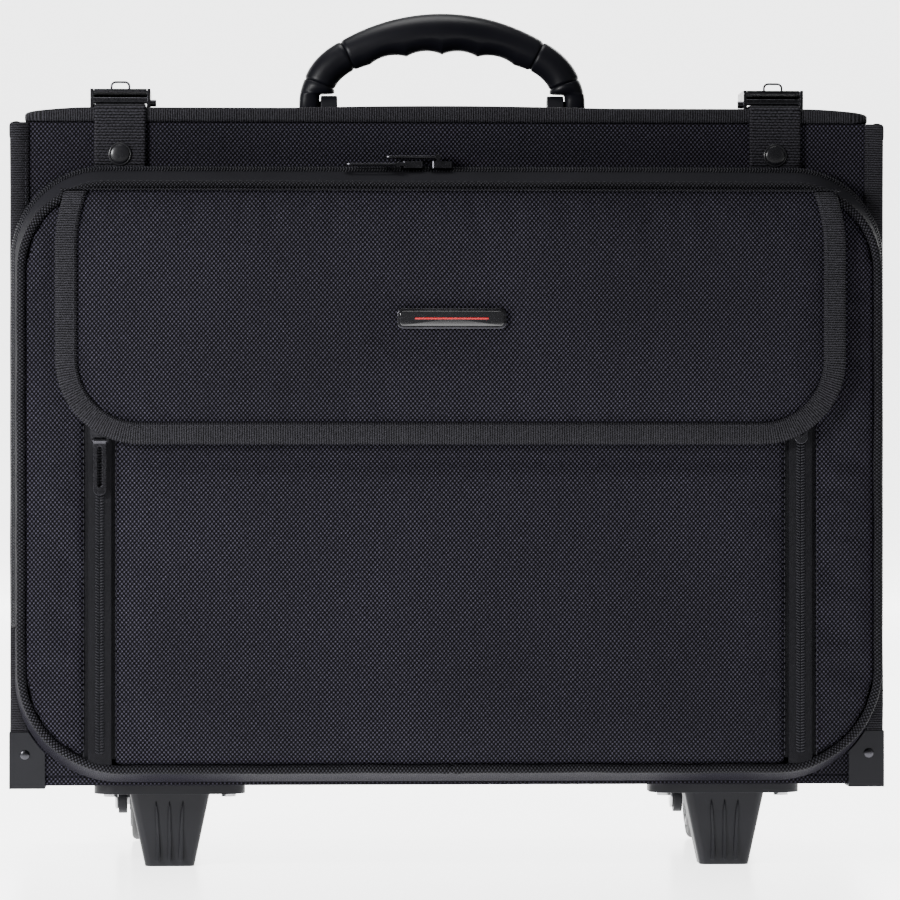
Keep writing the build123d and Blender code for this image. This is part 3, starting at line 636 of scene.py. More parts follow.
finishes.update({
    "soft_band": worn("soft_band", (0.0085, 0.0085, 0.0102), (0.0122, 0.0120, 0.0142), 0.66, grain=2600,
                      grain_depth=0.00005, specular=0.02),
    "piping_cloth": woven("piping_cloth", (0.0010, 0.0013), (0.0002, 0.0002, 0.0003),
                          (0.0105, 0.0102, 0.0128), (0.070, 0.068, 0.082), 0.00028),
    "moulded_plastic": worn("moulded_plastic", (0.0048, 0.0049, 0.0064), (0.0080, 0.0081, 0.0104), 0.46,
                            grain=1500, grain_depth=0.00007, scuff=0.06, specular=0.16),
    "soft_grip": worn("soft_grip", (0.0028, 0.0029, 0.0044), (0.0046, 0.0047, 0.0070), 0.40, grain=2200,
                      grain_depth=0.00003, specular=0.14),
    "button_plastic": worn("button_plastic", (0.16, 0.16, 0.17), (0.22, 0.22, 0.23), 0.38, grain=1800),
    "gunmetal": worn("gunmetal", (0.030, 0.030, 0.034), (0.060, 0.059, 0.066), 0.26, metallic=1.0, grain=700,
                     grain_depth=0.00001, scuff=0.12),
    "plain_steel": worn("plain_steel", (0.42, 0.42, 0.43), (0.55, 0.55, 0.56), 0.30, metallic=1.0, grain=500,
                        grain_depth=0.00001),
    "tube_aluminium": worn("tube_aluminium", (0.30, 0.30, 0.31), (0.40, 0.40, 0.41), 0.33, metallic=1.0,
                           grain=420, grain_depth=0.00002, brushed=(1, 1, 0.03)),
    "wheel_tread": worn("wheel_tread", (0.012, 0.012, 0.013), (0.026, 0.026, 0.027), 0.62, grain=1300,
                        grain_depth=0.0001, scuff=0.3),
    "wheel_core": worn("wheel_core", (0.045, 0.045, 0.048), (0.07, 0.07, 0.074), 0.42, grain=1500),
    "zip_coil": worn("zip_coil", (0.008, 0.008, 0.010), (0.016, 0.0157, 0.0190), 0.34, grain=2000,
                     grain_depth=0.00002, specular=0.10),
    "thread": worn("thread", (0.007, 0.007, 0.009), (0.015, 0.0145, 0.0178), 0.5, specular=0.1, grain=3000),
    "snap_enamel": worn("snap_enamel", (0.0045, 0.0045, 0.0055), (0.0085, 0.0084, 0.0100), 0.30, grain=1200,
                        grain_depth=0.00001, specular=0.22, coat=0.15),
    "badge_face": worn("badge_face", (0.004, 0.004, 0.005), (0.008, 0.008, 0.009), 0.12, grain=900,
                       grain_depth=0.000004, coat=0.6),
    "badge_line": worn("badge_line", (0.30, 0.008, 0.010), (0.40, 0.012, 0.014), 0.25, grain=900,
                       grain_depth=0.000004, coat=0.5),
})
print("finishes", len(finishes))


# %% How a finished piece joins the model
def dress(piece, finish, body, *nodes):
    """Gives a piece its finish, the body it moves with and the nodes it stands for."""
    piece.data.materials.clear()
    piece.data.materials.append(finishes[finish])
    if body:
        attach(piece, body)
    if nodes:
        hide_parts(*nodes)
    return piece


def refinish(node, finish):
    """A node whose shape is right as it is keeps its mesh and gets the finish."""
    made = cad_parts[node]
    if not made.data.materials:
        made.data.materials.append(finishes[finish])
    for k in range(len(made.material_slots)):
        made.material_slots[k].material = finishes[finish]


# %% [markdown]
# ## Padding by cloth simulation
# A stuffed panel swells between the seams that hold it. The recipe: make the panel a little thin,
# remesh it evenly, pin its back and its rim, and let cloth pressure blow the rest outward for
# twenty steps. A cap on how far each point may go keeps it inside its space, and the threads and
# tape are laid on afterwards. A wish to shrink less than its outline gives the cloth spare length,
# which shows as the faint puckers beside a seam.
# %% Swelling a panel
def swell(piece, held, limit, pressure=4.0, cell=0.0055, spare=0.0, steps=20):
    """Blows a panel outward. held(points) marks what stays put; limit(points) is how far each may
    move."""
    remesh = piece.modifiers.new("even", "REMESH")
    remesh.mode = "VOXEL"
    remesh.voxel_size = cell
    bpy.context.view_layer.objects.active = piece
    bpy.context.view_layer.update()
    bpy.ops.object.modifier_apply(modifier=remesh.name)
    mesh = piece.data
    rest = np.empty(len(mesh.vertices) * 3)
    mesh.vertices.foreach_get("co", rest)
    rest = rest.reshape(-1, 3)
    pins = piece.vertex_groups.new(name="held")
    pins.add([int(k) for k in np.nonzero(held(rest))[0]], 1.0, "REPLACE")
    cloth = piece.modifiers.new("cloth", "CLOTH")
    cloth.settings.use_pressure = True
    cloth.settings.uniform_pressure_force = pressure
    cloth.settings.vertex_group_mass = "held"
    cloth.settings.effector_weights.gravity = 0
    cloth.settings.tension_stiffness = 12
    cloth.settings.compression_stiffness = 12
    cloth.settings.bending_stiffness = 0.4
    cloth.settings.shrink_min = -spare
    cloth.settings.quality = 5
    cloth.collision_settings.use_collision = False
    scene = bpy.context.scene
    for step in range(1, steps + 1):
        scene.frame_set(step)
    bpy.ops.object.modifier_apply(modifier=cloth.name)
    scene.frame_set(1)
    mesh = piece.data
    blown = np.empty(len(mesh.vertices) * 3)
    mesh.vertices.foreach_get("co", blown)
    move = blown.reshape(-1, 3) - rest
    far = np.linalg.norm(move, axis=1, keepdims=True)
    cap = limit(rest)[:, None]
    eased = cap * np.tanh(far / np.maximum(cap, 1e-9))
    mesh.vertices.foreach_set("co", (rest + move / np.maximum(far, 1e-9) * eased).ravel())
    piece.vertex_groups.clear()
    print(piece.name, "swelled by up to", round(float(eased.max()) / MM, 1), "mm")
    finer = piece.modifiers.new("finer", "SUBSURF")
    finer.levels = 1
    bpy.ops.object.modifier_apply(modifier=finer.name)
    piece.data.shade_smooth()
    return flat_map(piece)


print("padding helper ready")


# %% More ways to make a piece
def joined(name, pieces):
    """Makes several meshes one piece."""
    work = bmesh.new()
    for piece in pieces:
        work.from_mesh(piece.data)
        bpy.data.objects.remove(piece)
    mesh = bpy.data.meshes.new(name)
    work.to_mesh(mesh)
    work.free()
    whole = bpy.data.objects.new(name, mesh)
    bpy.context.scene.collection.objects.link(whole)
    return whole


def turned(name, profile, centre, axis, sides=48):
    """A turned part. profile lists (distance along the axis, radius) from one end to the other."""
    axis = unit(axis)
    side = unit(np.cross(axis, (0, 0, 1) if abs(axis[2]) < 0.9 else (1, 0, 0)))
    other = np.cross(axis, side)
    turn = (np.arange(sides) / sides * 2 * math.pi)[None, :, None]
    profile = np.array(profile, float)
    rows = (np.array(centre, float) + profile[:, :1, None] * axis
            + profile[:, 1:, None] * (np.cos(turn) * side + np.sin(turn) * other))
    return surface(name, rows, loop_v=True, cap=True, u=lengths(profile))


def domed_plate(name, half, low, high, r, back, front, dome, insets, cells=(10, 4, 6)):
    """A flat plate that faces -Y, rounded at its rim and domed towards its middle."""
    rings = []
    edge = 0.35 * MM
    for inset, y in [(0, back), (0, front + edge), (edge * 0.3, front + edge * 0.3), (edge, front)]:
        points, _ = outline(half - inset, low + inset, high - inset, r - inset * 0.5, r - inset * 0.5, cells)
        points[:, 1] = y
        rings.append(points)
    middle = rings[-1].mean(axis=0)
    for share in insets:
        inner = middle + (rings[3] - middle) * (1 - share)
        inner[:, 1] = front - dome * math.sin(share * math.pi / 2)
        rings.append(inner)
    return surface(name, np.array(rings), loop_v=True, cap=True)


def plate(name, polygon, y_back, y_front):
    """A flat block cut to a polygon in X and Z."""
    n = len(polygon)
    verts = [(x, y, z) for y in (y_back, y_front) for x, z in polygon]
    faces = [tuple(range(n)), tuple(range(n, 2 * n))]
    faces += [(i, (i + 1) % n, n + (i + 1) % n, n + i) for i in range(n)]
    return outward(make_object(name, verts, faces))


def even_normals(piece):
    """Lets wide flat faces keep a flat shade beside their rounded edges."""
    even = piece.modifiers.new("even", "WEIGHTED_NORMAL")
    even.keep_sharp = True
    bpy.context.view_layer.objects.active = piece
    bpy.context.view_layer.update()
    bpy.ops.object.modifier_apply(modifier=even.name)
    return piece


def hard_part(name, node, width, finish, body):
    """A node with its edges softened, finished and standing in for the node."""
    return dress(even_normals(softened(name, node, width)), finish, body, node)


# %% [markdown]
# ## The box
# The main box is stiff board and foam wrapped in ballistic nylon. Its four upright corners are
# covered with wide ribbed tape, sewn down at both edges. The two sides are padded, so they are
# blown slightly outward; the front, back and base are drawn flat over their boards.
# %% Walls
def flat_panel(name, node, finish="ballistic_nylon"):
    low, high = corners(node)
    panel = soft_box(name, low, high, 0.8 * MM, 0.02)
    return dress(even_normals(panel), finish, "case", node)


def padded_side(side, sign):
    """A side wall that swells between its taped corners."""
    low, high = corners(f"side_wall_{side}")
    name = f"side_padding_{side}"
    panel = soft_box(name, low, high, 0.8 * MM, 0.02)
    outer = low[0] if sign < 0 else high[0]
    rim = 12 * MM

    def held(p):
        near = (p[:, 1] < low[1] + rim) | (p[:, 1] > high[1] - rim) | (p[:, 2] < low[2] + rim)
        return near | (p[:, 2] > high[2] - rim) | (np.abs(p[:, 0] - outer) > 3 * MM)

    swell(panel, held, lambda p: np.full(len(p), 2.6 * MM), pressure=3.5, cell=0.0048, spare=0.01)
    dress(panel, "ballistic_nylon", "case", f"side_wall_{side}")


for wall_name in ("front_wall", "back_wall", "base_panel"):
    flat_panel(wall_name.replace("_wall", "_cloth").replace("_panel", "_cloth"), wall_name)
for side, sign in (("left", -1), ("right", 1)):
    padded_side(side, sign)
case_x = corners("side_wall_right")[1][0]
back_y = corners("back_wall")[1][1]
top_z = wall_high[2]
print("box", round(2 * case_x, 4), "wide")


# %% Corner tape
def corner_section(leg, thick, r):
    """An L round a corner at the origin, whose outer sides face +a and +b."""
    outer = [(-leg, thick), (thick - r, thick)]
    outer += [(thick - r + r * math.sin(t), thick - r + r * math.cos(t)) for t in np.linspace(0.2, 1.37, 6)]
    outer += [(thick, thick - r), (thick, -leg)]
    inner = [(thick * 0.35, -leg - 0.2 * MM), (-0.3 * MM, -leg), (-0.3 * MM, -0.3 * MM), (-leg, -0.3 * MM),
             (-leg - 0.2 * MM, thick * 0.35)]
    return np.array(outer + inner)


def corner_tapes():
    low, high = corners("case_binding")
    tapes, threads = [], []
    round_top = 2.4 * MM
    sewn = 46
    heights = np.concatenate([np.linspace(low[2], high[2] - 9 * MM, sewn),
                              np.linspace(high[2] - 8 * MM, high[2] - round_top, 6),
                              high[2] - round_top * (1 - np.sin(np.linspace(0.2, 1, 8) * math.pi / 2))])
    below = high[2] - heights
    turned_over = 0.35 * MM * np.clip((9 * MM - below) / (1.5 * MM), 0, 1)
    rounding = np.sqrt(np.clip(1 - np.clip(1 - below / round_top, 0, 1) ** 2, 0.02, 1))
    thickness = (1.2 * MM + turned_over) * rounding
    for sx in (-1, 1):
        for y, sy in ((front_y, -1), (back_y, 1)):
            path = line_of(sx * case_x, y, heights)
            path[:, 0] += [0.25 * MM * noise.noise((sx * 9, y * 50, z * 26)) for z in heights]
            section = [corner_section(9 * MM, thick, min(2.6 * MM, thick + 0.6 * MM)) for thick in thickness]
            tapes.append(sweep("tape", path, (sx, 0, 0), (0, sy, 0), np.array(section)))
            for place, out in (((sx * (case_x - 7.6 * MM), y + sy * 1.2 * MM), (0, sy, 0)),
                               ((sx * (case_x + 1.2 * MM), y - sy * 7.6 * MM), (sx, 0, 0))):
                threads.append(stitch_row("thread", line_of(*place, heights[:sewn]), out))
    dress(joined("corner_tapes", tapes), "grosgrain", "case", "case_binding")
    dress(joined("corner_tape_stitches", threads), "thread", "case")


corner_tapes()


# %% Taped tops of the sides
def side_top_tapes():
    """The two side walls stand outside the lid, so their top edges are wrapped in tape."""
    tapes = []
    ys = np.linspace(front_y - 0.9 * MM, back_y + 0.9 * MM, 70)
    near = np.minimum(ys - ys[0], ys[-1] - ys) / (2.6 * MM)
    scale = 0.55 + 0.45 * np.sqrt(np.clip(1 - (1 - np.clip(near, 0, 1)) ** 2, 0, 1))
    for sx in (-1, 1):
        path = line_of(sx * (case_x - 2.1 * MM), ys, top_z - 4.2 * MM)
        section = bar_section(6.8 * MM, 9.6 * MM, 2.9 * MM, 5)[None] * scale[:, None, None]
        tapes.append(sweep("tape", path, (1, 0, 0), (0, 0, 1), section))
    dress(joined("side_top_tapes", tapes), "grosgrain", "case")


side_top_tapes()


# %% Lining
def make_lining():
    low, high = corners("lining")
    t = 1 * MM
    sheets = [((low[0], low[1], low[2]), (high[0], high[1], low[2] + t)),
              ((low[0], low[1], low[2] + t), (low[0] + t, high[1], high[2])),
              ((high[0] - t, low[1], low[2] + t), (high[0], high[1], high[2])),
              ((low[0] + t, low[1], low[2] + t), (high[0] - t, low[1] + t, high[2])),
              ((low[0] + t, high[1] - t, low[2] + t), (high[0] - t, high[1], high[2]))]
    made = [soft_box("sheet", a, b, 0.2 * MM, 0.03) for a, b in sheets]
    dress(joined("lining_box", made), "lining_cloth", "case", "lining")


make_lining()

# %% [markdown]
# ## Guards, feet and wheels
# The corners that touch the ground wear moulded guards, each held by a domed rivet. Two fixed feet
# at the front level the case against the wheels behind. A foot is one moulding: a flange screwed to
# the base, a leg that tapers to the floor, and three thin ribs down its face that hide sink marks.
# %% Guards and rivets
hard_part("corner_guard_mouldings", "corner_guards", 0.9 * MM, "moulded_plastic", "case")


def make_rivets():
    low, high = corners("guard_rivets")
    r = (high[2] - low[2]) / 2
    z = (high[2] + low[2]) / 2
    heads = []
    for sx in (-1, 1):
        for y, sy in ((low[1], -1), (high[1], 1)):
            centre = (sx * (high[0] - r), y, z)
            profile = [(-1.6 * MM, r * 0.98)] + [(-1.0 * MM + 1.0 * MM * math.sin(t), r * math.cos(t))
                                                 for t in np.linspace(0, 1.45, 8)]
            heads.append(turned("head", profile, centre, (0, sy, 0), 32))
    dress(joined("guard_rivet_heads", heads), "gunmetal", "case", "guard_rivets")


make_rivets()


# %% Feet
def make_foot(side):
    node = f"foot_{side}"
    low, high = corners(node)
    body = even_normals(softened("body", node, 1.3 * MM))
    middle = (low[0] + high[0]) / 2
    ribs, stations = [], np.arange(12)
    for k in (-1, 0, 1):
        top = Vector((middle + k * 7.4 * MM, low[1] + 3.0 * MM, 36 * MM))
        foot = Vector((middle + k * 5.4 * MM, low[1] + 5.7 * MM, 2.4 * MM))
        path = np.array([foot + (top - foot) * t for t in np.linspace(0, 1, len(stations))])
        fade = np.clip(np.minimum(stations, stations[::-1]) / 1.5, 0.15, 1)
        section = ring_section(0.95 * MM, 10)[None] * fade[:, None, None]
        ribs.append(sweep("rib", path, (1, 0, 0), (0, 1, 0), section))
    dress(joined(f"front_foot_{side}", [body] + ribs), "moulded_plastic", "case", node)


for side in ("left", "right"):
    make_foot(side)
refinish("foot_screws", "plain_steel")
print("feet stand on", round(corners("foot_left")[0][2], 4))


# %% Wheels
def make_wheel(side):
    low, high = corners(f"tyre_{side}")
    centre = (np.array(low) + np.array(high)) / 2
    hub_low, hub_high = corners(f"hub_{side}")
    r, width, core = (high[2] - low[2]) / 2, high[0] - low[0], (hub_high[2] - hub_low[2]) / 2
    sides, spoke_count = 72, 6
    turn = np.arange(sides) / sides * 2 * math.pi
    radial = line_of(0, np.cos(turn), np.sin(turn))
    section = bar_section(width, r - core + 0.4 * MM, 2.6 * MM, 5)
    tread = [[width * f, section[:, 1].max()] for f in (0.3, 0.15, 0, -0.15, -0.3)]
    section = np.insert(section, 6, tread, 0)
    outer = section[:, 1] > 0
    section[outer, 1] -= 0.9 * MM * (section[outer, 0] / width * 2) ** 2
    tyre = sweep(f"wheel_tyre_{side}", centre + radial * ((r + core) / 2 - 0.2 * MM), (1, 0, 0), radial,
                 section, loop=True)
    dress(tyre, "wheel_tread", f"wheel_{side}", f"tyre_{side}")
    half = (hub_high[0] - hub_low[0]) / 2
    face = [(0, 5.0), (0, 7.0), (-1.0, 7.6), (-2.2, 8.2), (-2.2, 13.0), (-0.6, 14.0), (-0.6, 16.6),
            (-1.6, 17.0)]
    profile = [(-(half + a * MM), b * MM) for a, b in face]
    profile += [(half + a * MM, b * MM) for a, b in reversed(face)]
    hub = turned("hub", profile, centre, (1, 0, 0), 56)
    spokes = []
    bar = bar_section(2.4 * MM, 2.2 * MM, 0.6 * MM)
    for k in range(spoke_count):
        lean = k * math.pi / (spoke_count / 2)
        d = np.array([0, math.cos(lean), math.sin(lean)])
        for s in (-1, 1):
            start = centre + np.array([s * (half - 2.0 * MM), 0, 0])
            path = np.array([start + d * q * MM for q in (7.8, 9, 11, 13.2)])
            spokes.append(sweep("spoke", path, (1, 0, 0), np.cross(d, (1, 0, 0)), bar))
    dress(joined(f"wheel_hub_{side}", [hub] + spokes), "wheel_core", f"wheel_{side}", f"hub_{side}")


for side in ("left", "right"):
    make_wheel(side)
    hard_part(f"wheel_housing_moulding_{side}", f"wheel_housing_{side}", 1.4 * MM, "moulded_plastic", "case")
hard_part("wheel_axle_pins", "wheel_axles", 0.7 * MM, "plain_steel", "case")

# %% [markdown]
# ## The telescopic trolley
# Three tubes nest in each other behind the back wall. Drawn aluminium shows faint lines along the
# tube, so its grain is stretched that way. The bezel and the grip are moulded, and a padded cloth
# cover hides the tubes; it is a tray whose back is blown slightly outward.
# %% Trolley
hard_part("trolley_lower_block", "trolley_lower_bracket", 0.8 * MM, "moulded_plastic", "case")
hard_part("trolley_bezel_moulding", "trolley_bezel", 0.7 * MM, "moulded_plastic", "case")
hard_part("trolley_grip_moulding", "trolley_grip", 1.3 * MM, "soft_grip", "trolley_stage_2")
hard_part("trolley_release", "trolley_button", 0.3 * MM, "button_plastic", "trolley_button")
for stage in ("outer", "mid", "inner"):
    refinish(f"trolley_{stage}_tubes", "tube_aluminium")


def make_back_cover():
    low, high = corners("back_cover")
    skin = 3 * MM
    rim = [((low[0], low[1], low[2]), (low[0] + skin, high[1] - skin, high[2])),
           ((high[0] - skin, low[1], low[2]), (high[0], high[1] - skin, high[2])),
           ((low[0] + skin, low[1], low[2]), (high[0] - skin, high[1] - skin, low[2] + skin)),
           ((low[0] + skin, low[1], high[2] - skin), (high[0] - skin, high[1] - skin, high[2]))]
    dress(joined("back_cover_walls", [soft_box("wall", a, b, 0.5 * MM, 0.02) for a, b in rim]),
          "ballistic_nylon", "case", "back_cover")
    face_low = (low[0] + 1.5 * MM, high[1] - 5.2 * MM, low[2] + 1.5 * MM)
    face_high = (high[0] - 1.5 * MM, high[1] - 0.3 * MM, high[2] - 1.5 * MM)
    pad = soft_box("back_cover_pad", face_low, face_high, 0.8 * MM, 0.02)
    edge = 8 * MM

    def held(p):
        near = (np.abs(p[:, 0]) > face_high[0] - edge) | (p[:, 2] < face_low[2] + edge)
        seam = np.abs(p[:, 2] - (low[2] + high[2]) / 2) < 3 * MM
        return near | seam | (p[:, 2] > face_high[2] - edge) | (p[:, 1] < high[1] - 2.5 * MM)

    swell(pad, held, lambda p: np.full(len(p), 3.2 * MM), pressure=4, cell=0.0048, spare=0.012)
    dress(pad, "ballistic_nylon", "case", "back_cover")
    tuck = 1.2 * MM
    ring, normal = outline(high[0] - tuck, low[2] + tuck, high[2] - tuck, 4 * MM, 4 * MM, (30, 40, 5))
    ring[:, 1] = high[1] - tuck
    dress(sweep("back_cover_piping", ring, normal, (0, 1, 0), ring_section(1.7 * MM, 10), loop=True),
          "piping_cloth", "case", "back_cover")


make_back_cover()
print("trolley ready")

# %% [markdown]
# ## The lid
# The lid is a foam pad whose edge is wrapped in wide tape and sewn through, so the tape stands a
# little proud and the pad crowns inside it. Real lids are never quite flat: this one bows up in the
# middle of its width, between the two latches that pull its corners down.
# %% Lid pad and rim
ring_low, ring_high = corners("lid_binding")
lid_top = ring_high[2]
lid_y = (ring_low[1] + ring_high[1]) / 2


def lid_bow(points):
    """Lifts the middle of the lid, short of the trolley tubes that it leans on when open, and lets its
    unsupported corners sag."""
    points = np.array(points, float)
    share = np.clip(1 - (points[..., 0] / 0.090) ** 2, 0, 1) ** 1.3
    above = np.clip((points[..., 2] - ring_low[2]) / (lid_top - ring_low[2]), 0, 1)
    droop = np.clip((np.abs(points[..., 0]) - 0.198) / 0.034, 0, 1) ** 1.6
    points[..., 2] += (1.2 * MM * share - 2.6 * MM * droop) * above
    return points


def make_lid():
    low, high = corners("lid_panel")
    grow = 0.6 * MM
    pad = soft_box("lid_padding", (low[0] - grow, low[1] - grow, low[2]),
                   (high[0] + grow, high[1] + grow, high[2] - 0.9 * MM), 2.2 * MM, 0.008,
                   crown=[(2, 1, 0.9 * MM)], bow=lid_bow)
    dress(pad, "ballistic_nylon", "lid", "lid_panel")
    half_y = (ring_high[1] - ring_low[1]) / 2
    wide, tall = 10 * MM, lid_top - ring_low[2]
    inset = wide / 2
    ring, normal = outline(ring_high[0] - inset, -(half_y - inset), half_y - inset, 6 * MM, 6 * MM,
                           (50, 36, 6))
    ring = np.stack([ring[:, 0], lid_y + ring[:, 2], np.full(len(ring), ring_low[2] + tall / 2)], 1)
    normal = np.stack([normal[:, 0], normal[:, 2], normal[:, 1]], 1)
    section = bar_section(wide, tall, 2.3 * MM, 4)
    rows = ring[:, None] + section[..., :1] * normal[:, None] + section[..., 1:] * np.array([0, 0, 1.0])
    rim = surface("lid_edge_tape", lid_bow(rows), loop_u=True, loop_v=True)
    dress(rim, "grosgrain", "lid", "lid_binding")
    inner = ring - normal * (inset - 1.6 * MM)
    inner[:, 2] = lid_top
    dress(stitch_row("lid_edge_stitches", lid_bow(inner), (0, 0, 1), loop=True), "thread", "lid")


make_lid()
low, high = corners("lid_hinge_strip")
middle = (np.array(low) + np.array(high)) / 2
roll = line_of(np.linspace(low[0], high[0], 90), middle[1], middle[2])
dress(sweep("lid_hinge_roll", roll, (0, 1, 0), (0, 0, 1), ring_section(2.4 * MM, 16)), "grosgrain", "lid",
      "lid_hinge_strip")
print("lid top", round(lid_top, 4))

# %% [markdown]
# ## The carry handle
# The handle is one arch of soft plastic over a steel core, thickest in the middle. The grip has four
# shallow hollows underneath for the fingers; the bent shoulders run down into end sleeves that turn on
# pins between the brackets. Where two mouldings meet, both ends are rounded, which leaves a fine groove.
# %% Grip, shoulders and brackets
grip_low, grip_high = corners("handle_grip")
grip_y = (grip_low[1] + grip_high[1]) / 2
grip_r = grip_high[1] - grip_y
shoulder_r = 9 * MM
grip_half, grip_fall, grip_slope = 53.7 * MM, 12.3 * MM, 26.6
arch_top_z = grip_high[2] - grip_r
grip_end_z = arch_top_z - grip_fall
sleeve_low, sleeve_high = corners("handle_end_sleeves")
seam_x, seam_z, shoulder_slope = sleeve_high[0] - 11.6 * MM, sleeve_high[2] - 2.84 * MM, 71.6
finger_pitch = 22 * MM
seam_gap = 0.05


def arch(start, end, start_slope, end_slope, count):
    """A smooth curve in X and Z between two points, with its climb in degrees at each end."""
    start, end = np.array(start), np.array(end)
    reach = np.linalg.norm(end - start)
    d0, d1 = (np.array([math.cos(math.radians(a)), math.sin(math.radians(a))]) * reach
              for a in (start_slope, end_slope))
    t = np.linspace(0, 1, count)[:, None]
    flat = ((2 * t ** 3 - 3 * t ** 2 + 1) * start + (t ** 3 - 2 * t ** 2 + t) * d0
            + (3 * t ** 2 - 2 * t ** 3) * end + (t ** 3 - t ** 2) * d1)
    return np.stack([flat[:, 0], np.full(count, grip_y), flat[:, 1]], 1)


def rounded_ends(run, radius, edge=1.8 * MM, drop=0.8 * MM):
    """Draws the radius in at both ends, so that two mouldings meet in a fine groove."""
    for near in (run, run[-1] - run):
        radius = radius - drop * (1 - np.clip(near / edge, 0, 1)) ** 2
    return radius


def make_grip():
    left = arch((-grip_half, grip_end_z), (0, arch_top_z), grip_slope, 0, 70)
    path = np.vstack([left, (left * [-1, 1, 1])[-2::-1]])
    path[0] += (path[1] - path[0]) * seam_gap
    path[-1] += (path[-2] - path[-1]) * seam_gap
    a, b = frames_along(path, (0, 1, 0))
    b = b * np.sign(b[:, 2:3])
    run = lengths(path)
    share = 1 - np.abs(path[:, 0]) / grip_half
    radius = rounded_ends(run, shoulder_r + (grip_r - shoulder_r) * np.sin(share * math.pi / 2) ** 0.9)
    turn = np.arange(48) / 48 * 2 * math.pi
    section = []
    for x, r in zip(path[:, 0], radius):
        near = abs(x) / finger_pitch
        hollow = 2.3 * MM * abs(math.sin(near * math.pi)) ** 0.75 if near < 2 else 0
        up = r * np.sin(turn)
        section.append(np.stack([r * 0.97 * np.cos(turn), np.where(up < 0, up * (r - hollow) / r, up)], 1))
    grip = sweep("carry_grip", path, a, b, np.array(section))
    dress(grip, "soft_grip", "carry_handle", "handle_grip")


def make_shoulder(sign):
    path = arch((-seam_x, seam_z), (-grip_half, grip_end_z), shoulder_slope, grip_slope, 46)
    path[:, 0] *= -sign
    path[-1] += (path[-2] - path[-1]) * seam_gap
    a, b = frames_along(path, (0, 1, 0))
    radius = rounded_ends(lengths(path), np.full(len(path), shoulder_r))
    return sweep("shoulder", path, a, b, ring_section(1.0, 40)[None] * radius[:, None, None])


def make_end_sleeve(sign):
    """The arch's last moulding: as wide as the shoulder at its seam, then cut back over the bracket.
    Each station gives the outer and inner end of a ring, its half depth, and how square it is."""
    x, top, base = sleeve_high[0], sleeve_high[2], sleeve_low[2]
    stations = [((-3.6, -0.2), (-19.5, -5.4), 8.4, 2.0), ((-2.8, -0.8), (-20.0, -6.3), 9.0, 2.0),
                ((-1.7, -3.9), (-20.1, -7.4), 8.8, 2.1), ((-0.9, -6.8), (-20.0, -8.1), 8.0, 2.3),
                ((-0.6, -8.1), (-18.8, -8.5), 7.4, 2.5), ((-0.5, -8.4), (-12.6, -8.7), 7.2, 2.6),
                ((-0.4, -9.2), (-11.7, -9.6), 6.9, 2.7), ((-0.1, -12.0), (-11.6, -12.0), 6.4, 2.8),
                ((0, -16.0), (-11.6, -16.0), 6.2, 2.8), ((0, -19.4), (-11.6, -19.4), 4.6, 2.6),
                ((-0.5, -21.0), (-11.0, -21.0), 2.2, 2.3), ((-1.1, -21.3), (-10.4, -21.3), 0.9, 2.0)]
    turn = np.arange(40) / 40 * 2 * math.pi
    rings = []
    for outer, inner, depth, square in stations:
        ends = [np.array([sign * (x + dx * MM), grip_y, max(top + dz * MM, base)])
                for dx, dz in (outer, inner)]
        middle, reach = (ends[0] + ends[1]) / 2, (ends[0] - ends[1]) / 2
        c, s = np.cos(turn), np.sin(turn)
        wide, deep = (np.sign(q) * np.abs(q) ** (2 / square) for q in (c, s))
        rings.append(middle + wide[:, None] * reach + deep[:, None] * np.array([0, depth * MM, 0]))
    return surface("sleeve", np.array(rings), loop_v=True, cap=True)


make_grip()
dress(joined("carry_shoulders", [make_shoulder(-1), make_shoulder(1)]), "soft_grip", "carry_handle",
      "handle_shoulders")
dress(joined("carry_end_sleeves", [make_end_sleeve(-1), make_end_sleeve(1)]), "soft_grip", "carry_handle",
      "handle_end_sleeves")
hard_part("carry_brackets", "handle_brackets", 0.9 * MM, "moulded_plastic", "lid")
print("grip top", round(grip_high[2], 4))
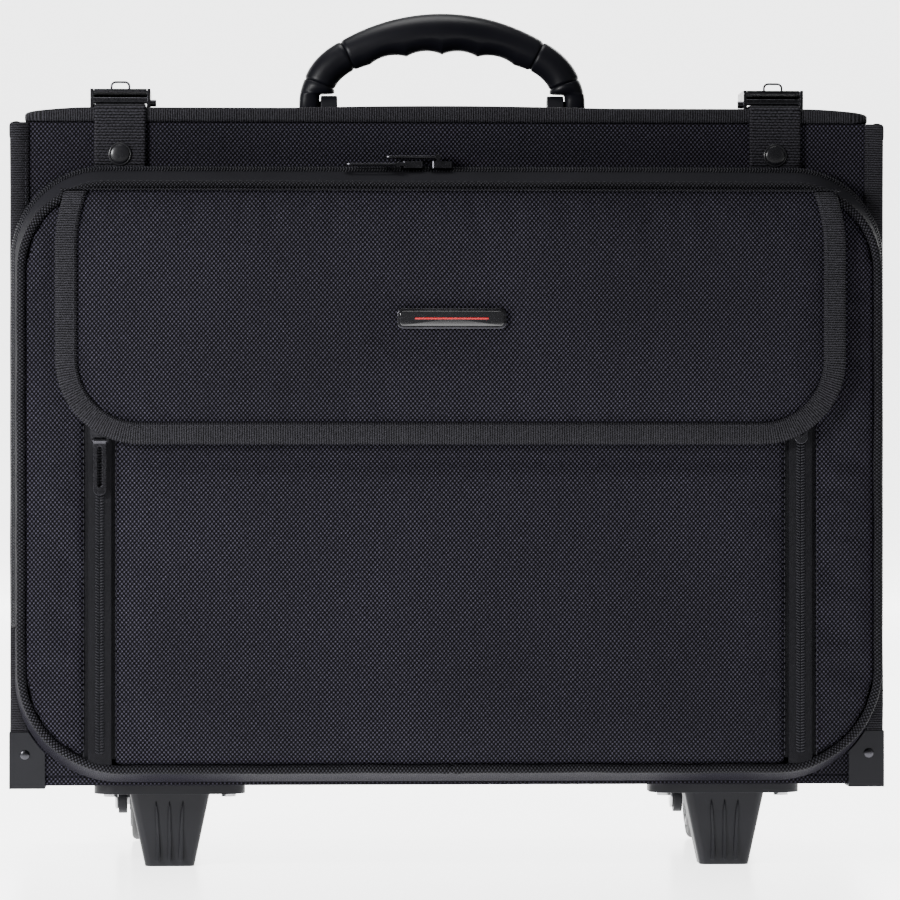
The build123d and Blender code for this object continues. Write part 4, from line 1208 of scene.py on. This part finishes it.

# %% [markdown]
# ## Straps, snaps and latches
# Each strap is one length of webbing: it lies on the lid under the latch, folds over the edge, and
# hangs down the front to its press stud. It is one ribbon, swept along one path with a round bend at
# the fold.
# %% Straps
def make_strap(side):
    low, high = corners(f"strap_{side}")
    tail_low, tail_high = corners("strap_tails")
    x = (low[0] + high[0]) / 2
    width, thick = high[0] - low[0], tail_high[2] - tail_low[2]
    on_lid = (tail_low[2] + tail_high[2]) / 2
    hang_y = wall_low[1] - 2.1 * MM
    turns = [(x, tail_high[1], on_lid), (x, hang_y, on_lid), (x, hang_y, low[2])]
    path = bent_path(turns, [3.0 * MM], 0.0008)
    a = np.broadcast_to((1.0, 0, 0), path.shape)
    b = unit(np.cross(unit(np.gradient(path, axis=0)), a))
    cells = np.linspace(-0.5, 0.5, 25) * width
    top = [(c, thick / 2 - 0.25 * MM * (abs(c) > width * 0.47)) for c in cells]
    under = [(c, -thick / 2 + 0.25 * MM * (abs(c) > width * 0.47)) for c in cells[::-1]]
    ribbon = sweep(f"strap_webbing_{side}", path, a, b, np.array(top + under))
    dress(ribbon, "belt_webbing", None, f"strap_{side}", "strap_tails")
    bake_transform(ribbon)
    face = hang_y - thick / 2
    snap_z = low[2] + 6.7 * MM
    ring = [(-0.1, 6.3), (0.55, 6.5), (0.95, 6.1), (1.05, 5.5), (0.8, 5.35), (0.75, 5.25), (1.3, 5.2)]
    dome = [(1.3 + 1.05 * math.sin(t), 5.2 * math.cos(t)) for t in np.linspace(0.15, 1.5, 8)]
    profile = [(s * MM, r * MM) for s, r in ring + dome]
    cap = turned(f"snap_cap_{side}", profile, (x, face, snap_z), (0, -1, 0))
    dress(cap, "snap_enamel", f"strap_{side}", f"strap_{side}")
    line = line_of(np.linspace(x - width * 0.42, x + width * 0.42, 20), face, low[2] + 1.6 * MM)
    dress(stitch_row(f"strap_stitches_{side}", line, (0, -1, 0), pitch=0.0026), "thread", f"strap_{side}")


for side in ("left", "right"):
    make_strap(side)
    hard_part(f"latch_lever_plate_{side}", f"latch_lever_{side}", 0.35 * MM, "gunmetal", f"latch_{side}")
hard_part("latch_side_plates", "latch_frames", 0.45 * MM, "gunmetal", "lid")


def latch_front_bars():
    """The bent front of each latch's base plate, with the webbing passing under it."""
    low, high = corners("latch_frames")
    bars = []
    cross_bar = bar_section(2.2 * MM, 3.6 * MM, 0.9 * MM)
    foot_bar = bar_section(1.6 * MM, 2.8 * MM, 0.3 * MM)
    for side in ("left", "right"):
        strap_low, strap_high = corners(f"strap_{side}")
        middle = (strap_low[0] + strap_high[0]) / 2
        xs = middle + np.linspace(-15.9 * MM, 15.9 * MM, 30)
        path = line_of(xs, low[1] + 1.2 * MM, low[2] + 4.0 * MM)
        bars.append(sweep("bar", path, (0, 1, 0), (0, 0, 1), cross_bar))
        for dx in (-15.2 * MM, 15.2 * MM):
            path = line_of(middle + dx, [low[1] + 2 * MM, high[1] - 2 * MM], low[2] + 1.4 * MM)
            bars.append(sweep("foot", path, (1, 0, 0), (0, 0, 1), foot_bar))
    dress(joined("latch_base_bars", bars), "gunmetal", "lid")


latch_front_bars()
hard_part("snap_base_studs", "snap_studs", 0.3 * MM, "plain_steel", "case")
print("straps and latches ready")

# %% [markdown]
# ## The front pocket
# The pocket is a shallow tray of cloth. Its sides lean in a little from the zip to the piping at
# the front. They are one gusset in three zones: a fabric strip at the back, the coil zip, and a
# smooth coated band that sheds rain. The zip runs up both sides and over the top, and stops part
# of the way down, where the gusset is plain cloth.
# %% The pocket's outline at any depth
gusset_low, gusset_high = corners("pocket_gusset")
piping_low, piping_high = corners("pocket_piping")
pocket_y = gusset_high[1]
gusset_depth = gusset_high[1] - gusset_low[1]
ring_cells = (34, 34, 16)


def pocket_ring(depth, inset):
    """The pocket's outline at a depth in front of its back edge, drawn in by an inset."""
    reach = depth / gusset_depth
    half = gusset_high[0] - inset - (gusset_high[0] - piping_high[0]) * reach
    low = gusset_low[2] + inset + (piping_low[2] - gusset_low[2]) * reach
    high = gusset_high[2] - inset - (gusset_high[2] - piping_high[2]) * reach
    points, normals = outline(half, low, high, 57 * MM - inset, 48 * MM - inset, ring_cells)
    points[:, 1] = pocket_y - depth
    return points, normals


whole_ring, whole_normal = pocket_ring(0.0095, 0)
zip_end_z = 0.128
zipped = np.nonzero(whole_ring[:, 2] > zip_end_z)[0]
zip_run = slice(int(zipped[0]), int(zipped[-1]) + 1)


def gusset_band(name, profile, finish, part=None, *nodes):
    """A band round the pocket. profile lists (depth, inset) once round its section."""
    rings = np.stack([pocket_ring(d * MM, i * MM)[0] for d, i in profile], 1)
    if part is not None:
        rings = rings[part]
    band = surface(name, rings, loop_u=part is None, loop_v=True, cap=part is not None)
    return dress(band, finish, "pocket", *nodes)


gusset_band("pocket_side_cloth", [(0, 0.5), (0.6, 0.1), (4, 0.1), (8, 0.7), (16, 1.3), (24, 1.9), (32.4, 2.3),
                                  (32.4, 4.2), (16, 3.4), (0.6, 2.6), (0, 2.2)], "ballistic_nylon", None,
            "pocket_gusset")
gusset_band("pocket_zip_tape", [(1.8, 0.3), (2.2, -0.5), (4.2, -1.75), (5.0, -1.8), (9.6, 0.45), (10.6, 0.55),
                                (10.6, 1.2), (4.6, -0.9)], "zip_cloth", zip_run, "pocket_zip")
gusset_band("pocket_rain_band", [(9.6, 0.9), (9.8, -0.05), (10.8, -0.35), (14, -0.15), (20, 0.45), (26, 1.1),
                                 (30.4, 1.75), (31.4, 2.6), (20, 1.5)], "soft_band", zip_run, "pocket_gusset")
print("gusset depth", round(gusset_depth, 4), "zip from point", zipped[0], "to", zipped[-1])


# %% Zip teeth
def zip_teeth(name, path, across, out, body, *nodes, pitch=1.55 * MM, half=1.35 * MM, lean=0.42,
              lift=0.25 * MM):
    """A closed coil: two rows of slanted loops that meet in the middle as chevrons."""
    ahead = unit(np.gradient(np.asarray(path, float), axis=0))
    at, ahead, across, out = along(path, [ahead, across, out], pitch, pitch / 2)
    rows = []
    for s in (-1, 1):
        lie = unit(s * across + lean * ahead)
        rows.append(grains("row", at + s * across * half * 0.92 + out * lift, lie, unit(np.cross(out, lie)),
                           (half, pitch * 0.36, 0.55 * MM)))
    return dress(joined(name, rows), "zip_coil", body, *nodes)


coil_ring, _ = pocket_ring(7.1 * MM, -0.78 * MM)
coil_ahead, _ = pocket_ring(9.3 * MM, 0.30 * MM)
coil_path = coil_ring[zip_run]
coil_across = unit(coil_ahead - coil_ring)[zip_run]
coil_out = whole_normal[zip_run]
coil_out = unit(coil_out - (coil_out * coil_across).sum(1, keepdims=True) * coil_across)
zip_teeth("pocket_zip_coil", coil_path, coil_across, coil_out, "pocket", "pocket_zip")
line, _ = pocket_ring(29.0 * MM, 1.55 * MM)
dress(stitch_row("rain_band_stitches", line[zip_run], whole_normal[zip_run]), "thread", "pocket")
print("pocket zip", round(lengths(coil_path)[-1], 3), "m")


# %% The tape that stays on the box
def make_fixed_tape():
    """The half of the zip sewn to the front wall, which shows when the pocket drops."""
    low, high = corners("zip_tape_fixed")
    ring, normal = outline(high[0] - 6 * MM, low[2] + 6 * MM, high[2] - 6 * MM, 48 * MM, 40 * MM, ring_cells)
    ring[:, 1] = (low[1] + high[1]) / 2
    section = bar_section(11.6 * MM, 1.1 * MM, 0.3 * MM, 2)
    dress(sweep("fixed_zip_tape", ring, normal, (0, -1, 0), section, loop=True), "zip_cloth", "case",
          "zip_tape_fixed")


make_fixed_tape()

# %% [markdown]
# ## Piping
# The front edge of the pocket is piped: a cord inside a folded strip of cloth, sewn between the
# panel and the gusset. The strip's two ends meet at the middle of the bottom, where a short tuck
# shows. A tube along the outline makes it, waved very slightly, since a sewn edge is never straight.
# %% Piping and its tuck
def make_piping():
    r = 2.45 * MM
    half, low, high = piping_high[0] - r, piping_low[2] + r, piping_high[2] - r - 1.2 * MM
    ring, normal = outline(half, low, high, 54.5 * MM, 45.5 * MM, (110, 90, 40))
    ring[:, 1] = (piping_low[1] + piping_high[1]) / 2 - 0.1 * MM
    wave = np.array([noise.noise(Vector(p) * 34) for p in ring])
    ring += normal * (wave * 0.5 * MM)[:, None]
    radius = r * (1 + 0.05 * np.array([noise.noise(Vector(p) * 130) for p in ring]))
    run = lengths(ring, True)
    from_seam = np.minimum(run[:-1], run[-1] - run[:-1])
    swollen = 0.16 * np.exp(-((from_seam - 3 * MM) / (2.2 * MM)) ** 2)
    pinched = 0.22 * np.exp(-(from_seam / (0.8 * MM)) ** 2)
    radius *= 1 + swollen - pinched
    section = ring_section(1.0, 14)[None] * radius[:, None, None]
    dress(sweep("pocket_front_piping", ring, normal, (0, -1, 0), section, loop=True), "piping_cloth",
          "pocket", "pocket_piping")


make_piping()

# %% [markdown]
# ## Pocket panels
# Behind the flap the pocket's face is three panels of nylon, parted by two upright zips. Each is
# lightly padded, so it swells between its seams. The pin mask keeps the edges down, and the cap
# keeps the middle panel clear of the flap that lies on it.
# %% Padded panels
panel_front = corners("pocket_centre_panel")[0][1]
flap_low, flap_high = corners("flap_binding")
side_zip_x = (corners("side_zips")[1][0] * 2 - 13 * MM) / 2
zip_half = 6.5 * MM
panel_in = 4.4 * MM
inner_ring, _ = outline(piping_high[0] - panel_in, piping_low[2] + panel_in, piping_high[2] - panel_in,
                        52.6 * MM, 43.6 * MM, (24, 24, 18))


def cut_between(ring, x_low, x_high):
    """The part of a convex outline between two uprights, as a polygon in X and Z."""
    polygon = [(p[0], p[2]) for p in ring]
    for limit, side in ((x_low, 1), (x_high, -1)):
        kept = []
        for k, p in enumerate(polygon):
            q = polygon[(k + 1) % len(polygon)]
            p_in, q_in = side * (p[0] - limit) >= 0, side * (q[0] - limit) >= 0
            if p_in:
                kept.append(p)
            if p_in != q_in:
                t = (limit - p[0]) / (q[0] - p[0])
                kept.append((limit, p[1] + (q[1] - p[1]) * t))
        polygon = kept
    return polygon


def edge_distance(points, polygon):
    """How far each point lies inside a polygon's sides, seen from the front."""
    p = np.stack([points[:, 0], points[:, 2]], 1)
    best = np.full(len(p), 1.0)
    for a, b in zip(np.array(polygon), np.roll(polygon, -1, 0)):
        d = b - a
        t = np.clip(((p - a) @ d) / max(d @ d, 1e-12), 0, 1)
        best = np.minimum(best, np.linalg.norm(p - (a + t[:, None] * d), axis=1))
    return best


def padded_panel(name, polygon, node, reach, spare):
    """A pocket panel: blown forward, held at its seams and at the back."""
    piece = plate(name, polygon, panel_front + 9 * MM, panel_front + 0.3 * MM)

    def held(p):
        return (edge_distance(p, polygon) < 5 * MM) | (p[:, 1] > panel_front + 3 * MM)

    def limit(p):
        under_flap = (p[:, 2] > flap_low[2] - 14 * MM) & (np.abs(p[:, 0]) < flap_high[0] + 4 * MM)
        return np.where(under_flap, 0.5 * MM, reach)

    swell(piece, held, limit, pressure=3.5, cell=0.005, spare=spare)
    dress(piece, "ballistic_nylon", "pocket", node)


middle_cut = cut_between(inner_ring, -side_zip_x + zip_half, side_zip_x - zip_half)
padded_panel("pocket_middle_padding", middle_cut, "pocket_centre_panel", 2.6 * MM, 0.014)
for side, sign in (("left", -1), ("right", 1)):
    near, far = side_zip_x + zip_half, piping_high[0]
    span = (near, far) if sign > 0 else (-far, -near)
    padded_panel(f"pocket_side_padding_{side}", cut_between(inner_ring, *span), "pocket_side_panels",
                 2.4 * MM, 0.022)


# %% Upright zips
def upright_zip(side, sign):
    x = sign * side_zip_x
    low, high = corners("side_zips")
    front_tape = soft_box("tape", (x - zip_half, panel_front - 0.1 * MM, low[2]),
                          (x + zip_half, panel_front + 2.4 * MM, high[2]), 0.5 * MM, 0.01)
    under = 3.2 * MM
    sewn_in = soft_box("tape", (x - zip_half - under, panel_front + 2.6 * MM, low[2] + 3 * MM),
                       (x + zip_half + under, panel_front + 4.4 * MM, high[2] - 3 * MM), 0.5 * MM, 0.01)
    dress(joined(f"upright_zip_tape_{side}", [front_tape, sewn_in]), "zip_cloth", "pocket", "side_zips")
    heights = np.linspace(low[2] + 6 * MM, high[2] - 15 * MM, 160)
    path = line_of(x, panel_front - 0.15 * MM, heights)
    zip_teeth(f"upright_zip_coil_{side}", path, (1.0, 0, 0) + 0 * path, (0, -1.0, 0) + 0 * path, "pocket",
              "side_zips", lift=0.2 * MM)
    threads = []
    for edge in (-1, 1):
        fold = line_of(x + edge * (zip_half + 2.2 * MM), panel_front - 0.25 * MM,
                       np.linspace(low[2] + 4 * MM, high[2] - 4 * MM, 120))
        threads.append(stitch_row("thread", fold, (0, -1, 0)))
    dress(joined(f"upright_zip_stitches_{side}", threads), "thread", "pocket")


for side, sign in (("left", -1), ("right", 1)):
    upright_zip(side, sign)
print("upright zips at", round(side_zip_x, 4))

# %% [markdown]
# ## The flap
# The flap is the fullest pad on the case: foam between two layers of nylon, quilted only at its rim.
# Wide ribbed tape wraps its sides and its round lower corners and is sewn through. The pad is blown
# as cloth, then the tape is swept round it as a folded strip, and the thread row goes on last.
# %% Flap pad
badge_low, badge_high = corners("badge_plate")
badge_z = (badge_low[2] + badge_high[2]) / 2
tape_wide = 12 * MM
flap_round = 46 * MM


def flap_ring(inset, top, cells=(40, 30, 20)):
    """The flap's outline, drawn in by an inset, or by its own one at the top, where the sides lean in."""
    high = flap_high[2] - top
    points, normals = outline(flap_high[0] - inset, flap_low[2] + inset, high, flap_round - inset, 1 * MM,
                              cells)
    lean = np.clip((points[:, 2] - high + 30 * MM) / (30 * MM), 0, 1) ** 2 * 6 * MM
    points[:, 0] -= points[:, 0] / flap_high[0] * lean
    return points, normals


def taped_run(cells=(40, 30, 20)):
    """The points of the outline that carry tape: down one side, along the bottom and up the other."""
    across, upright, corner = cells
    half_way = across + corner + upright
    count = 4 * (across + corner) + 2 * upright
    return [k % count for k in range(half_way + 2 * (corner + across) - count, half_way + 1)]


def make_flap_pad():
    ring, _ = flap_ring(tape_wide * 0.55, -0.9 * MM, (24, 14, 12))
    polygon = [(p[0], p[2]) for p in ring]
    back, front = flap_high[1] - 0.2 * MM, flap_low[1] + 1.3 * MM
    pad = plate("flap_padding", polygon, back, front)

    def held(p):
        return (edge_distance(p, polygon) < 7 * MM) | (p[:, 1] > back - 1.5 * MM)

    def limit(p):
        dx = np.maximum(np.abs(p[:, 0]) - badge_high[0], 0)
        dz = np.maximum(np.abs(p[:, 2] - badge_z) - 6 * MM, 0)
        away = np.clip(np.hypot(dx, dz) / (22 * MM), 0, 1)
        return (1.5 + 2.2 * away) * MM

    swell(pad, held, limit, pressure=5, cell=0.005, spare=0.012)
    dress(pad, "ballistic_nylon", "flap", "flap_panel")


def make_flap_tape():
    run = taped_run()
    ring, normal = flap_ring(tape_wide / 2, 0.4 * MM)
    back, front = flap_high[1], flap_low[1]
    ring[:, 1] = (back + front) / 2
    section = bar_section(tape_wide, back - front, 2.2 * MM, 4)
    tape = sweep("flap_edge_tape", ring[run], normal[run], (0, -1, 0), section)
    dress(tape, "grosgrain", "flap", "flap_binding")
    line, _ = flap_ring(tape_wide - 1.7 * MM, 0.4 * MM)
    line[:, 1] = front
    dress(stitch_row("flap_edge_stitches", line[run], (0, -1, 0)), "thread", "flap")


make_flap_pad()
make_flap_tape()


# %% Flap hinge and badge
def make_flap_hinge():
    """The strip of cloth that joins the top of the flap to the pocket, and ends at the fold."""
    half = flap_high[0] - 3 * MM
    profile = [(-119.8, 369.8), (-125, 370.3), (-129.5, 370.1), (-129.9, 369.7), (-129.4, 369.2),
               (-125, 369.0), (-119.8, 368.6)]
    xs = np.linspace(-half, half, 80)
    rows = np.array([[(x, y * MM, z * MM) for y, z in profile] for x in xs])
    dress(surface("flap_hinge_cloth", rows, loop_v=True, cap=True), "piping_cloth", "pocket")


make_flap_hinge()
rim = domed_plate("badge_rim", badge_high[0], badge_low[2], badge_high[2], 3 * MM, badge_high[1] + 0.6 * MM,
                  badge_low[1] + 0.7 * MM, 0.0, (0.12,))
dress(rim, "gunmetal", "flap", "badge_plate")
face_in = 1.5 * MM
face = domed_plate("badge_face_plate", badge_high[0] - face_in, badge_low[2] + face_in,
                   badge_high[2] - face_in, 1.8 * MM, badge_low[1] + 1 * MM, badge_low[1] + 0.55 * MM,
                   0.5 * MM, (0.25, 0.5, 0.75, 0.96))
dress(face, "badge_face", "flap", "badge_plate")
line = soft_box("badge_accent_line", (-20 * MM, badge_low[1] - 0.02 * MM, badge_z - 0.45 * MM),
                (20 * MM, badge_low[1] + 0.5 * MM, badge_z + 0.45 * MM), 0.2 * MM, 0.004)
dress(line, "badge_line", "flap", "badge_plate")

# %% [markdown]
# ## Zip sliders and pulls
# Sliders are die-cast and plated, so they keep tight edges with a soft break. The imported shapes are
# right; they only need that break, and a plating that picks up scratches from keys and hands.
# %% Sliders and pulls
for name, node, body in (("top_slider_body_left", "top_slider_left", "top_slider_left"),
                         ("top_slider_body_right", "top_slider_right", "top_slider_right"),
                         ("top_pull_tab_left", "top_tab_left", "top_pull_left"),
                         ("top_pull_tab_right", "top_tab_right", "top_pull_right"),
                         ("side_slider_body_left", "side_slider_left", "side_slider_left"),
                         ("side_slider_body_right", "side_slider_right", "side_slider_right"),
                         ("side_pull_tab_left", "side_tab_left", "side_pull_left"),
                         ("side_pull_tab_right", "side_tab_right", "side_slider_right")):
    hard_part(name, node, 0.28 * MM, "gunmetal", body)
print("sliders ready")

# %% Print the size, packed and dressed
made_box = [list(corner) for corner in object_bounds()]
for label, (low, high) in (("packed", cad_box), ("dressed", made_box)):
    print(label, [round((b - a) / MM, 1) for a, b in zip(low, high)], "mm")
